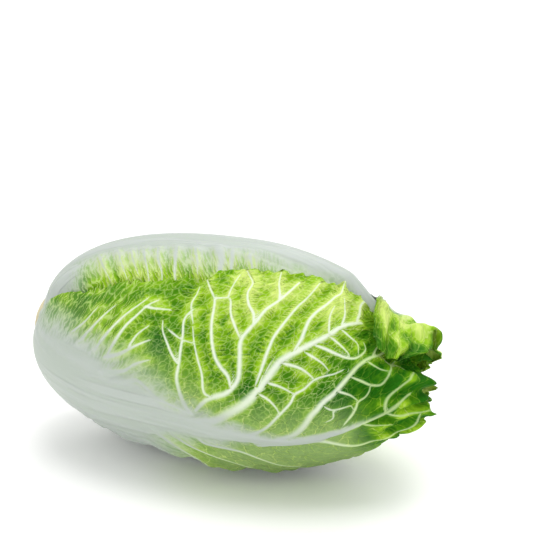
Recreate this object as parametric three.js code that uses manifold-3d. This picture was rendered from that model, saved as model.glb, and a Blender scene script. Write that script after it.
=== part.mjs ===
// A head of Chinese cabbage lying on its side, in millimetres, +Z up, base towards -X, leaf tips towards +X.
//
// The head is a blunt barrel. A place on it is given by three numbers: the distance along its outline from the
// middle of the base (station), the angle round the axis (0 faces -Y, 90 is up), and the height over
// the barrel's skin (lift, negative inwards). Leaves are laid from the outermost inwards: each one hangs just
// under those over it, so a roof is kept of how high the next leaf may reach.
import * as THREE from 'three';
import { mergeVertices } from 'three/addons/utils/BufferGeometryUtils.js';
import Module from 'manifold-3d';

// Driving dimensions of the head.
const HEAD_LENGTH = 292;
const HEAD_RADIUS = 79;
const BELLY_AT = 156;
const BASE_BLUNTNESS = 2.45;
const TIP_BLUNTNESS = 1.8;
const PRESSED_FLAT = 2.0; // how far the underside is pressed in where the head lies
const MOUTH_FLARE = 2; // how far the leaf tips stand off the barrel round the open end
const MOUTH_FROM = 310;
const MOUTH_TO = 350;

// Driving dimensions of the leaves.
const STEM_EDGE = 19; // station where every leaf leaves the stem
const BLADE_THICKNESS = 1.2;
const LEAF_GAP = 1.25;
const STALK_PROUD = 1.8; // how far the white stalk stands above the blade on both sides of it
const SIDE_FRILL = 2.2; // how far the edge waves out along the leaf's sides
const TIP_FRILL = 5; // the same round its tip
const TIP_NOTCH = 4; // how far the tip is cut back between two waves
const VEIN_SWEEP = 46; // how far forward a side vein has run when it meets the edge
const STALK_THICKNESS = [5, 6.5, 5.5, 4.5, 3, 1];

// The leaves, outermost first. Each list holds values at even distances from the stem to the leaf's tip: the
// angle of the midrib, the degrees from it to the edge on the side of growing and of falling angle, and the
// half-width in millimetres of the white stalk. Rows is the number of steps along the leaf, two for each side
// vein. Relief is how far the blade sinks between two side veins, rounding how much shorter the leaf is at
// its edges than at its midrib. Flaps are lobes of the tip that stand out: angle and half-width in degrees,
// then lift and reach in millimetres.
const LEAVES = [
  {
    name: 'leaf_1', tip: 344, rows: 22, columns: 20, relief: 2.8, rounding: 14,
    midrib: [158, 160, 161, 160, 158, 114],
    growing: [58, 60, 66, 74, 78, 72, 56],
    falling: [32, 32, 31, 30, 30, 30, 30, 29, 27, 25, 24, 23, 23, 27, 84, 78, 62],
    stalk: [22, 36, 34, 28, 18, 7],
    flaps: [[106, 16, 13, -11], [74, 14, 9, 1], [152, 18, 6, 2]],
  },
  {
    name: 'leaf_2', tip: 348, rows: 22, columns: 20, relief: 2.8, rounding: 5,
    midrib: [-18, -18, -18, -17, -17, -20, -24, -15, 0],
    growing: [46, 62, 66, 71, 78, 95, 111, 112, 80],
    falling: [46, 46, 43, 38, 36, 46, 61, 63, 55],
    stalk: [22, 35, 38, 28, 15, 8, 4, 3, 2],
    flaps: [[36, 19, 8, 4], [-40, 20, 7, 4]],
  },
  {
    name: 'leaf_3', tip: 341, rows: 20, columns: 18, relief: 2.8, rounding: 14,
    midrib: [-88, -90, -92, -92, -90, -88],
    growing: [44, 50, 58, 65, 72, 60],
    falling: [60, 60, 65, 75, 85, 66],
    stalk: [22, 36, 36, 30, 18, 7],
  },
  {
    name: 'leaf_4', tip: 347, rows: 22, columns: 20, relief: 2.8, rounding: 14,
    midrib: [104, 103, 103, 106, 112, 120],
    growing: [40, 50, 60, 70, 75, 62],
    falling: [70, 66, 58, 60, 64, 68, 72, 76, 70],
    stalk: [22, 36, 36, 30, 14, 8],
    flaps: [[56, 16, 0, 6]],
  },
  {
    name: 'leaf_5', tip: 341, rows: 14, columns: 16, relief: 1.6, rounding: 16,
    midrib: [215, 215],
    growing: [42, 52, 60, 70, 75, 64],
    falling: [42, 52, 60, 70, 75, 64],
    stalk: [22, 35, 34, 28, 17, 7],
  },
  {
    name: 'leaf_6', tip: 346, rows: 14, columns: 16, relief: 1.6, rounding: 16,
    midrib: [45, 45],
    growing: [42, 52, 58, 62, 70, 66],
    falling: [42, 52, 60, 70, 80, 66],
    stalk: [20, 33, 33, 27, 17, 7],
  },
  {
    name: 'leaf_7', tip: 343, rows: 14, columns: 16, relief: 1.6, rounding: 16,
    midrib: [-52, -42],
    growing: [40, 50, 60, 70, 75, 66],
    falling: [40, 50, 60, 70, 75, 66],
    stalk: [18, 28, 28, 24, 15, 6],
  },
  {
    name: 'leaf_8', tip: 345, rows: 14, columns: 16, relief: 1.6, rounding: 16,
    midrib: [142, 132],
    growing: [40, 50, 60, 70, 75, 66],
    falling: [40, 50, 60, 70, 75, 66],
    stalk: [18, 28, 28, 24, 15, 6],
  },
];

// The folded tips of the inner leaves, which stand out of the heart round the open end.
const HEART_TIPS = 3;
const HEART_TIP_STEP = 137.5;
const HEART_TIP_FROM = 288;
const HEART_TIP_TO = 350;
const HEART_TIP_WIDTH = 80;
const HEART_TIP_RELIEF = 1.6;
const HEART_TIP_ROUNDING = 16;

const LATTICE_STATIONS = 74;
const LATTICE_ANGLES = 90;

const radians = (degrees) => (degrees * Math.PI) / 180;
const clamp = (value, low, high) => Math.min(high, Math.max(low, value));
const smooth = (value, low, high) => {
  const x = clamp((value - low) / (high - low), 0, 1);
  return x * x * (3 - 2 * x);
};

// Reads evenly spaced values as one smooth curve, with share running from 0 to 1.
function along(values, share) {
  const place = clamp(share, 0, 1) * (values.length - 1);
  const i = Math.min(Math.floor(place), values.length - 2);
  const x = place - i;
  const [a, b, c, d] = [-1, 0, 1, 2].map((k) => values[clamp(i + k, 0, values.length - 1)]);
  return b + 0.5 * x * (c - a + x * (2 * a - 5 * b + 4 * c - d + x * (3 * (b - c) + d - a)));
}

// The barrel's outline: two superellipse quarters that meet at the belly.
const OUTLINE_STEPS = 2000;
function barrelOutline() {
  const raw = [];
  for (let i = 0; i <= OUTLINE_STEPS; i++) {
    const turn = (Math.PI * i) / OUTLINE_STEPS;
    const towardsTip = turn > Math.PI / 2;
    const power = 2 / (towardsTip ? TIP_BLUNTNESS : BASE_BLUNTNESS);
    const reach = Math.abs(Math.cos(turn)) ** power;
    const x = towardsTip ? BELLY_AT + (HEAD_LENGTH - BELLY_AT) * reach : BELLY_AT * (1 - reach);
    raw.push(new THREE.Vector2(x, HEAD_RADIUS * Math.sin(turn) ** power));
  }
  const distances = [0];
  for (let i = 1; i < raw.length; i++) distances.push(distances[i - 1] + raw[i].distanceTo(raw[i - 1]));
  return { raw, distances, length: distances[distances.length - 1] };
}
const OUTLINE = barrelOutline();
const AXIS_HEIGHT = HEAD_RADIUS - PRESSED_FLAT;

function outlinePoint(station) {
  const { raw, distances } = OUTLINE;
  let low = 0;
  let high = distances.length - 1;
  while (high - low > 1) {
    const middle = (low + high) >> 1;
    if (distances[middle] > station) high = middle;
    else low = middle;
  }
  const share = (station - distances[low]) / (distances[high] - distances[low]);
  return raw[low].clone().lerp(raw[high], clamp(share, 0, 1));
}

const NORMAL_STEP = 3;
function outlineNormal(station) {
  const before = outlinePoint(Math.max(station - NORMAL_STEP, 0));
  const after = outlinePoint(Math.min(station + NORMAL_STEP, OUTLINE.length));
  const along = after.sub(before).normalize();
  return new THREE.Vector2(-along.y, along.x);
}

function place(station, angle, lift) {
  const p = outlinePoint(station).addScaledVector(outlineNormal(station), lift);
  return new THREE.Vector3(p.x, -p.y * Math.cos(angle), p.y * Math.sin(angle) + AXIS_HEIGHT);
}

// The highest lift that stays above the surface the head lies on.
function groundLift(station, angle) {
  const sine = Math.sin(angle);
  if (sine > -0.5) return Infinity;
  const normal = outlineNormal(station).y;
  return normal < 0.2 ? Infinity : (-AXIS_HEIGHT / sine - outlinePoint(station).y) / normal;
}

// The skin of the whole head: the barrel, flared round the open end and pressed flat underneath.
function skin(station, angle) {
  const flare = MOUTH_FLARE * smooth(station, MOUTH_FROM, MOUTH_TO) * (1 + 0.3 * Math.sin(3 * angle + 1));
  return Math.min(flare, groundLift(station, angle));
}

// A field over the barrel: one number for each lattice station and angle.
class Field {
  constructor(value) {
    this.values = new Float64Array(LATTICE_STATIONS * LATTICE_ANGLES).fill(value);
  }
  static station(i) {
    return (OUTLINE.length * i) / (LATTICE_STATIONS - 1);
  }
  static angle(j) {
    return (2 * Math.PI * j) / LATTICE_ANGLES;
  }
  at(i, j) {
    const row = clamp(i, 0, LATTICE_STATIONS - 1);
    const column = ((j % LATTICE_ANGLES) + LATTICE_ANGLES) % LATTICE_ANGLES;
    return this.values[row * LATTICE_ANGLES + column];
  }
  read(station, angle) {
    const y = clamp((station / OUTLINE.length) * (LATTICE_STATIONS - 1), 0, LATTICE_STATIONS - 1.001);
    const x = (angle / (2 * Math.PI)) * LATTICE_ANGLES;
    const [i, j] = [Math.floor(y), Math.floor(x)];
    const [v, u] = [y - i, x - j];
    const near = this.at(i, j) * (1 - u) + this.at(i, j + 1) * u;
    const far = this.at(i + 1, j) * (1 - u) + this.at(i + 1, j + 1) * u;
    return near * (1 - v) + far * v;
  }
  // Each cell becomes what rule makes of the cells within reach of it.
  spread(reach, rule) {
    const made = new Field(0);
    for (let i = 0; i < LATTICE_STATIONS; i++)
      for (let j = 0; j < LATTICE_ANGLES; j++) {
        const near = [];
        for (let a = -reach; a <= reach; a++)
          for (let b = -reach; b <= reach; b++) near.push(this.at(i + a, j + b));
        made.values[i * LATTICE_ANGLES + j] = rule(near);
      }
    return made;
  }
  // The smooth field that is nowhere above this one.
  drapedUnder() {
    const lowest = this.spread(2, (near) => Math.min(...near));
    return lowest.spread(2, (near) => near.reduce((a, b) => a + b) / near.length);
  }
}

const drop = new Field(0); // how far below the skin the leaves laid so far have taken the roof
const bare = new Field(1); // 1 where no leaf has been laid yet

class Leaf {
  constructor(settings) {
    Object.assign(this, { from: STEM_EDGE, flaps: [], ...settings });
    this.roof = drop.drapedUnder();
    this.open = bare.drapedUnder();
  }
  share(station) {
    return (station - this.from) / (this.tip - this.from);
  }
  middle(station) {
    return radians(along(this.midrib, this.share(station)));
  }
  width(station, side) {
    return radians(along(side > 0 ? this.growing : this.falling, this.share(station)));
  }
  // The angle from the midrib, and where that lies across the leaf: 0 on the midrib, 1 and -1 on its edges.
  turned(station, angle) {
    const middle = this.middle(station);
    return Math.atan2(Math.sin(angle - middle), Math.cos(angle - middle));
  }
  across(station, angle) {
    const turned = this.turned(station, angle);
    return turned / this.width(station, turned);
  }
  covers(station, angle) {
    const across = this.across(station, angle);
    const end = this.tip - this.rounding * across * across;
    return Math.abs(across) <= 1 && station >= this.from - 1 && station <= end;
  }
  // 1 in the middle of the white stalk, 0 outside it.
  stalkShare(station, angle) {
    if (!this.stalk) return 0;
    const halfWidth = along(this.stalk, this.share(station));
    const share = (this.turned(station, angle) * outlinePoint(station).y) / halfWidth;
    return clamp(1 - share * share, 0, 1) ** 1.3;
  }
  thickness(station, angle) {
    return BLADE_THICKNESS + this.stalkShare(station, angle) * along(STALK_THICKNESS, this.share(station));
  }
  // How far the blade lies below its roof; pucker is 0 on a side vein and 1 between two.
  sag(station, angle, pucker) {
    const puckered = this.relief * pucker * smooth(Math.abs(this.across(station, angle)), 0, 0.3);
    return this.stalk ? (1 - this.stalkShare(station, angle)) * (STALK_PROUD + puckered) : puckered;
  }
  // How far the tip's flaps carry a place out and forward.
  flapped(s, angle) {
    const carried = { lift: 0, reach: 0 };
    const begun = smooth(s, 0.86, 1) ** 2;
    for (const [middle, halfWidth, lift, reach] of this.flaps) {
      const bell = Math.exp(-(((angle - radians(middle)) / radians(halfWidth)) ** 2)) * begun;
      carried.lift += lift * bell;
      carried.reach += reach * bell;
    }
    return carried;
  }
  // Takes the leaf's room off the roof.
  lay() {
    for (let i = 0; i < LATTICE_STATIONS; i++)
      for (let j = 0; j < LATTICE_ANGLES; j++) {
        const [station, angle, cell] = [Field.station(i), Field.angle(j), i * LATTICE_ANGLES + j];
        if (!this.covers(station, angle)) continue;
        const taken = this.sag(station, angle, 1) + this.thickness(station, angle) + LEAF_GAP;
        drop.values[cell] = Math.min(drop.values[cell], this.roof.values[cell] - taken);
        bare.values[cell] = 0;
      }
  }
}

// A closed blade: rows run along the side veins, so every second row is a vein that stands up and the rows
// between them are the puckers, which reach the edge as its waves.
function bladeGeometry(leaf) {
  const { rows, columns } = leaf;
  const outer = [];
  const inner = [];
  const length = leaf.tip - leaf.from;
  for (let i = 0; i <= rows; i++)
    for (let j = 0; j <= columns; j++) {
      const s = i / rows;
      const t = (2 * j) / columns - 1;
      const pucker = i % 2;
      const tipWave = 0.5 - 0.5 * Math.cos((Math.PI * j) / 2);
      const forward = VEIN_SWEEP * (length / HEAD_LENGTH) * Math.sin(Math.PI * s) * Math.abs(t) ** 1.4;
      const cutBack = s ** 4 * leaf.rounding * t * t + TIP_NOTCH * (1 - tipWave) * smooth(s, 0.9, 1);
      const even = leaf.from + length * s + forward - cutBack;
      const angle = leaf.middle(even) + t * leaf.width(even, t);
      const flap = leaf.flapped(s, angle);
      const station = even + flap.reach;
      const atSide = smooth(Math.abs(t), 0.6, 1) * smooth(s, 0.05, 0.3);
      const sideFrill = SIDE_FRILL * (0.2 + 0.8 * pucker) * atSide;
      const tipFrill = TIP_FRILL * (0.3 + 0.7 * tipWave) * smooth(s, 0.82, 1);
      const limit = groundLift(station, angle);
      const loose = smooth(limit, 0, 2.5);
      const frill = leaf.open.read(station, angle) * (Math.max(sideFrill, tipFrill) + flap.lift);
      const roof = skin(station, angle) + leaf.roof.read(station, angle);
      const top = Math.min(roof + loose * (frill - leaf.sag(station, angle, pucker)), limit);
      outer.push(place(station, angle, top));
      inner.push(place(station, angle, top - leaf.thickness(station, angle)));
    }
  return closedBlade(outer, inner, rows, columns);
}

// Joins an outer and an inner grid of points, alike in their triangles, by a rim round the edge.
function closedBlade(outer, inner, rows, columns) {
  const width = columns + 1;
  const below = outer.length;
  const triangles = [];
  for (let i = 0; i < rows; i++)
    for (let j = 0; j < columns; j++) {
      const [a, b, c, d] = [i * width + j, i * width + j + 1, (i + 1) * width + j, (i + 1) * width + j + 1];
      triangles.push(a, c, b, b, c, d);
      triangles.push(below + a, below + b, below + c, below + b, below + d, below + c);
    }
  const rim = [];
  for (let j = 0; j < columns; j++) rim.push(j);
  for (let i = 0; i < rows; i++) rim.push(i * width + columns);
  for (let j = columns; j > 0; j--) rim.push(rows * width + j);
  for (let i = rows; i > 0; i--) rim.push(i * width);
  rim.forEach((a, k) => {
    const b = rim[(k + 1) % rim.length];
    triangles.push(a, b, below + a, b, below + b, below + a);
  });
  const geometry = new THREE.BufferGeometry().setFromPoints([...outer, ...inner]);
  geometry.setIndex(triangles);
  return geometry;
}

// The stem: a cone whose side runs just inside the ring that the leaf bases leave.
const STEM_GAP = 0.4;
const STEM_PROUD = 1.5;
const STEM_SIDES = 32;
function stemGeometry(depth) {
  const edge = outlinePoint(STEM_EDGE);
  const normal = outlineNormal(STEM_EDGE);
  const ring = (lift) => edge.clone().addScaledVector(normal, lift);
  const outerRing = ring(STEM_PROUD);
  const innerRing = ring(-depth);
  const profile = [
    new THREE.Vector2(0, outerRing.x),
    new THREE.Vector2(outerRing.y - STEM_GAP - 2, outerRing.x),
    new THREE.Vector2(outerRing.y - STEM_GAP, outerRing.x + 1.2),
    new THREE.Vector2(innerRing.y - STEM_GAP, innerRing.x),
    new THREE.Vector2(0, innerRing.x),
  ];
  const geometry = new THREE.LatheGeometry(profile, STEM_SIDES);
  geometry.rotateZ(-Math.PI / 2);
  geometry.translate(0, 0, AXIS_HEIGHT);
  return geometry;
}

// The heart's core: one closed skin just under the last leaves, from a flat disc behind the stem to the tip.
const HEART_ROWS = 24;
const HEART_COLUMNS = 30;
const HEART_BITE = 2.4; // how far the core rises into the folded tips, so that they grow out of it
const HEART_SHOULDER = 10; // how much of each folded tip's root the core takes in
function heartCore(depth, shoulder) {
  const roof = drop.drapedUnder();
  const points = [];
  for (let i = 0; i <= HEART_ROWS; i++) {
    const station = STEM_EDGE + (OUTLINE.length - STEM_EDGE) * (i / HEART_ROWS);
    for (let j = 0; j < HEART_COLUMNS; j++) {
      const angle = (2 * Math.PI * j) / HEART_COLUMNS;
      const opened = smooth(station, HEART_TIP_FROM + HEART_SHOULDER, HEART_TIP_FROM + HEART_SHOULDER + 8);
      const tucked = roof.read(station, angle) + HEART_BITE;
      const top = skin(station, angle) + shoulder.read(station, angle) * (1 - opened) + tucked * opened;
      const seated = 1 - smooth(station, STEM_EDGE, STEM_EDGE + 30);
      points.push(place(station, angle, top * (1 - seated) - depth * seated));
    }
  }
  const first = new THREE.Vector3();
  const last = new THREE.Vector3();
  const end = points.length - HEART_COLUMNS;
  for (let j = 0; j < HEART_COLUMNS; j++) {
    first.addScaledVector(points[j], 1 / HEART_COLUMNS);
    last.addScaledVector(points[end + j], 1 / HEART_COLUMNS);
  }
  points.splice(end, HEART_COLUMNS, last);
  points.push(first);
  const triangles = [];
  const lastRow = HEART_ROWS - 1;
  for (let i = 0; i < lastRow; i++)
    for (let j = 0; j < HEART_COLUMNS; j++) {
      const k = (j + 1) % HEART_COLUMNS;
      const [a, b, c, d] = [i, i + 1].flatMap((row) => [row * HEART_COLUMNS + j, row * HEART_COLUMNS + k]);
      triangles.push(a, c, b, b, c, d);
    }
  for (let j = 0; j < HEART_COLUMNS; j++) {
    const k = (j + 1) % HEART_COLUMNS;
    triangles.push(lastRow * HEART_COLUMNS + j, end, lastRow * HEART_COLUMNS + k);
    triangles.push(points.length - 1, j, k);
  }
  const geometry = new THREE.BufferGeometry().setFromPoints(points);
  geometry.setIndex(triangles);
  return geometry;
}

const wasm = await Module();
wasm.setup();

function solidOf(geometry) {
  const merged = mergeVertices(geometry, 1e-4);
  const mesh = new wasm.Mesh({
    numProp: 3,
    vertProperties: new Float32Array(merged.attributes.position.array),
    triVerts: new Uint32Array(merged.index.array),
  });
  return new wasm.Manifold(mesh);
}

function geometryOf(solid) {
  const { vertProperties, triVerts } = solid.getMesh();
  const geometry = new THREE.BufferGeometry();
  geometry.setAttribute('position', new THREE.BufferAttribute(vertProperties, 3));
  geometry.setIndex(new THREE.BufferAttribute(triVerts, 1));
  return geometry;
}

const leafGreen = new THREE.MeshStandardMaterial({ color: 0x9cc452, roughness: 0.55, metalness: 0 });
const heartGreen = new THREE.MeshStandardMaterial({ color: 0xc8dc7a, roughness: 0.55, metalness: 0 });
const stemWhite = new THREE.MeshStandardMaterial({ color: 0xe2e4d4, roughness: 0.5, metalness: 0 });

const cabbage = new THREE.Group();

function add(name, geometry, material) {
  geometry.computeVertexNormals();
  const mesh = new THREE.Mesh(geometry, material);
  mesh.name = name;
  cabbage.add(mesh);
}

for (const settings of LEAVES) {
  const leaf = new Leaf(settings);
  add(leaf.name, bladeGeometry(leaf), leafGreen);
  leaf.lay();
}

const shoulder = drop.drapedUnder();
const tips = [];
for (let k = 0; k < HEART_TIPS; k++) {
  const width = [HEART_TIP_WIDTH, HEART_TIP_WIDTH];
  const turn = HEART_TIP_STEP * k;
  const tip = new Leaf({
    from: HEART_TIP_FROM, tip: HEART_TIP_TO - 2 * (k % 3), rows: 8, columns: 12,
    relief: HEART_TIP_RELIEF, rounding: HEART_TIP_ROUNDING,
    midrib: [turn, turn], growing: width, falling: width,
  });
  tips.push(bladeGeometry(tip));
  tip.lay();
}
const HEART_DEPTH = 6 - Math.min(...drop.values.slice(0, 8 * LATTICE_ANGLES));
let heart = solidOf(heartCore(HEART_DEPTH, shoulder));
for (const tip of tips) heart = heart.add(solidOf(tip));
// The largest shell alone is the heart with the closed gaps between its tips filled.
heart = heart.decompose().sort((a, b) => b.volume() - a.volume())[0].simplify(0.1);
add('heart', geometryOf(heart), heartGreen);
add('stem', stemGeometry(HEART_DEPTH - STEM_GAP), stemWhite);

// The origin goes to the middle of the footprint, on the surface that the head lies on.
const box = new THREE.Box3().setFromObject(cabbage);
const middle = box.getCenter(new THREE.Vector3());
for (const mesh of cabbage.children) mesh.position.set(-middle.x, -middle.y, -box.min.z);

export default cabbage;
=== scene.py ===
"""A head of Chinese cabbage lying on its side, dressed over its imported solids.

The head is a blunt barrel. A place on it is a station (millimetres along the barrel's outline from the middle
of the base), an angle round the axis (0 faces -Y, 90 is up) and a lift above the barrel's skin. Leaves are
laid from the outermost inwards, each under a roof that the ones before it leave, exactly as in the solids,
but on fine grids that also carry the veins, the puckers between them and the crinkled edges.
"""
from functools import partial

import bpy
import numpy as np
from bpy.props import FloatProperty, FloatVectorProperty, PointerProperty
from bpy.types import Operator, Panel, PropertyGroup
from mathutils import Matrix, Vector


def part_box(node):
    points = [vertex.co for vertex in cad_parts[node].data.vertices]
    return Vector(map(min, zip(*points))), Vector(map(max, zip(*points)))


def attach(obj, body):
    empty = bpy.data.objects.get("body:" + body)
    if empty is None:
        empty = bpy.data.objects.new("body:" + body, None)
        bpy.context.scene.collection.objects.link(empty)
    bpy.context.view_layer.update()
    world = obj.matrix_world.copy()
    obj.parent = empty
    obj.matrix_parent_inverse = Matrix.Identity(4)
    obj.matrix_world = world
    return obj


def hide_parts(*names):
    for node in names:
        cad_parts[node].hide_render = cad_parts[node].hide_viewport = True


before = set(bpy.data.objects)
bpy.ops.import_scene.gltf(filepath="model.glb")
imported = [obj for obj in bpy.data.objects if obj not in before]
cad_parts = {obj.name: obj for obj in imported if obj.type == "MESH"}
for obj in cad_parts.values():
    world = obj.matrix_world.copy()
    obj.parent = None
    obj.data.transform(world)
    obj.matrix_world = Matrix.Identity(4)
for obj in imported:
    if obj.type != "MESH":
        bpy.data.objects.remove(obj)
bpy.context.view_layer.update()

bl_info = {
    "name": "Chinese Cabbage",
    "version": (1, 0, 0),
    "blender": (4, 5, 0),
    "location": "View3D > Sidebar > Cabbage",
    "description": "Builds a head of Chinese cabbage from its leaves, heart and stem",
    "category": "Add Mesh",
}

MM = 0.001
SEED = 3591

# Driving dimensions of the head, in millimetres, as in the solids.
HEAD_LENGTH = 292.0
HEAD_RADIUS = 79.0
BELLY_AT = 156.0
BASE_BLUNTNESS = 2.45
TIP_BLUNTNESS = 1.8
PRESSED_FLAT = 2.0
MOUTH_FLARE = 2.0
MOUTH_FROM = 310.0
MOUTH_TO = 350.0
AXIS_HEIGHT = HEAD_RADIUS - PRESSED_FLAT

# Driving dimensions of the leaves, in millimetres, as in the solids.
STEM_EDGE = 19.0
BLADE_THICKNESS = 1.2
LEAF_GAP = 1.25
STALK_PROUD = 1.8
SIDE_FRILL = 2.2
TIP_FRILL = 5.0
TIP_NOTCH = 4.0
VEIN_SWEEP = 46.0
STALK_THICKNESS = (5, 6.5, 5.5, 4.5, 3, 1)

# The fine blade, in millimetres: thinner than its solid, so that the veins and crinkles fit in the same room.
# A band along its edge thins out and frills. Its tip is cut into lobes, and they into teeth.
FINE_BLADE = 0.9
FINE_EDGE = 0.5
EDGE_BAND = 10.0
EDGE_FRILL = 4.0
LOBE_WIDTH = 11.0
LOBE_DEPTH = 3.5
LOBE_FRILL = 6.0
TOOTH_WIDTH = 4.0
TOOTH_DEPTH = 0.8

# Sizes of the blade's pattern, in millimetres. That of the ribs is from one ridge to the next.
WANDER_SIZE = 17.0
UNEVEN_SIZE = 8.0
RIB_STEP = 4.6
RIDGE_SIZE = 5.5
PLEAT_STEP = 4.4
PLEAT_LENGTH = 24.0
CRINKLE_SIZE = 7.0
CRINKLE_FINE_SIZE = 3.4
BULGE_SIZE = 8.0
CRUMPLE_SIZE = (9.0, 12.0)

# The most distance to a vein that counts. Ribs begin elsewhere beside each vein, and on each side of it.
FAR = 26.0
RIB_SHIFT = 53.0
RIB_SIDE_SHIFT = 11.5

# Grown side veins, in millimetres: the least and most of where the first leaves the stalk, of the way to the
# next, of the lean towards the tip, of the half-width and of a fork's reach, and then their sway and how many
# of them fork.
FIRST_VEIN = (22, 34)
NEXT_VEIN = (13, 24)
VEIN_LEAN = (34, 52)
VEIN_HALF = (0.7, 1.6)
FORK_REACH = (9, 16)
VEIN_SWAY = 3
FORKED_SHARE = 0.8

# Sizes of the patterns drawn on the skin, in millimetres, along the leaf and across it where there are two.
NET_CELL = (10.0, 8.5)
FINE_CELL = (4.2, 4.2)
STREAK_CELL = (2.6, 14.0)
GROOVE_SIZE = (90.0, 7.0)
BEND_SIZE = 5.0
BEND_REACH = 4.0
CLOUD_SIZE = 25.0
GRAIN_SIZE = 1.4
RIDGE_HEIGHT = 0.75
GRAIN_HEIGHT = 0.2

# The heart and its folded tips, in millimetres and degrees.
HEART_TIPS = 3
HEART_TIP_STEP = 137.5
HEART_TIP_FROM = 288.0
HEART_TIP_TO = 350.0
HEART_TIP_WIDTH = 80.0
HEART_SHOULDER = 10.0
HEART_BITE = 2.4
HEART_RIDGE = 1.4
HEART_GRID = (150, 160)
HEART_TIP_GRID = (60, 90)

# The stem, in millimetres: how far inside the solid it stays and outside the barrel it stands, its rings on
# the cut face and down the side, the bevel between them (back and inwards), the roughness of its face and the
# grain's size, where it starts to brown and is brown, and the ring of vein bundles in its face.
STEM_GAP = 0.4
STEM_PROUD = 1.5
STEM_FACE_RINGS = 24
STEM_SIDE_RINGS = 20
STEM_COLUMNS = 96
STEM_BEVEL = (1.2, 2.0)
STEM_ROUGHNESS = 0.9
STEM_GRAIN = 4.0
STEM_BROWN_FROM = 15.0
STEM_BROWN_TO = 18.5
BUNDLE_RING = 12.5
BUNDLE_WIDTH = 1.6
BUNDLES = 20

# The fields of the roof have this many stations and angles. A lift that has no limit is given as a metre.
LATTICE_STATIONS = 74
LATTICE_ANGLES = 90
UNLIMITED = 1000.0

# The camera stands where the photograph was taken from, in millimetres from a point under the head's middle.
CAMERA_FROM_BASE = 145.0
CAMERA_AZIMUTH = 25.0
CAMERA_ELEVATION = 26.0
CAMERA_DISTANCE = 1200.0
CAMERA_AIM = (-1.2, 63.2, 118.1)
CAMERA_LENS = 115.4
SENSOR_WIDTH = 36.0
IMAGE_SIDE = 533

# Places on the barrel are found from pixels by steps along the slopes, with veins a little under the skin:
# how many steps, the distances in millimetres and radians that a slope is measured over, and how many of
# those one step may go.
VEIN_LIFT = -2.0
SLOPE_STEPS = 4
STATION_STEP = 0.5
ANGLE_STEP = 0.01
MOST_SLOPES = 12

# The table's half side in metres, and the strength of the white light from all round.
TABLE_REACH = 6.0
SURROUNDING_LIGHT = 0.76

# What the skin's material reads at each point: the green's tone, the stalk's white, the shares of raised vein
# and of ridge, how far to the side of the nearest vein it lies (offset), that vein's half-width, how near it
# is to the stalk (root), the grey wax (bloom), the shares of ribs (rungs), pleats, net and finest net, and
# how far along the vein it lies (reached).
BLADE_FIELDS = (
    "tone", "stalk", "vein", "ridge", "offset", "half", "root", "bloom", "rungs", "pleats", "net", "fine",
    "reached")

# Soft round patches: station, angle, size in millimetres, and strength. Those of the front leaf and of the
# folded tip make the green deeper, or paler where the strength is negative; the front leaf's deep patch at
# station 228 is painted shade, in the crevice between two veins. The top and the back leaf are white where
# they meet over the head's shoulder. Wax lies in two hollows beside the front leaf's stalk and over its base,
# and there are no ribs in the hollows.
FRONT_PATCHES = (
    (80, 42, 22, -0.1), (168, 30, 17, 0.22), (182, 18, 22, 0.1), (228, 9, 9, 0.45), (165, 47, 15, -0.12),
    (276, 74, 24, -0.32), (243, -2, 18, 0.15), (200, -46, 26, -0.1), (225, 62, 22, -0.38), (300, 28, 15, 0.3),
    (290, -5, 24, 0.25), (318, 15, 28, 0.45), (164, 22, 8, 0.4), (95, 30, 26, 0.1),
)
FOLD_PATCHES = ((304, 104, 18, -0.32), (298, 72, 12, 0.2), (312, 58, 10, 0.2), (330, 62, 14, 0.1))
SHOULDER_WHITE = ((270, 130, 26, 1.0),)
FRONT_WAX = ((160, 6, 19, 0.5), (190, -4, 16, 0.6), (92, 12, 36, 0.42))
FRONT_HOLLOWS = ((160, 6, 19, 1.3), (190, -4, 16, 1.2))

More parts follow.
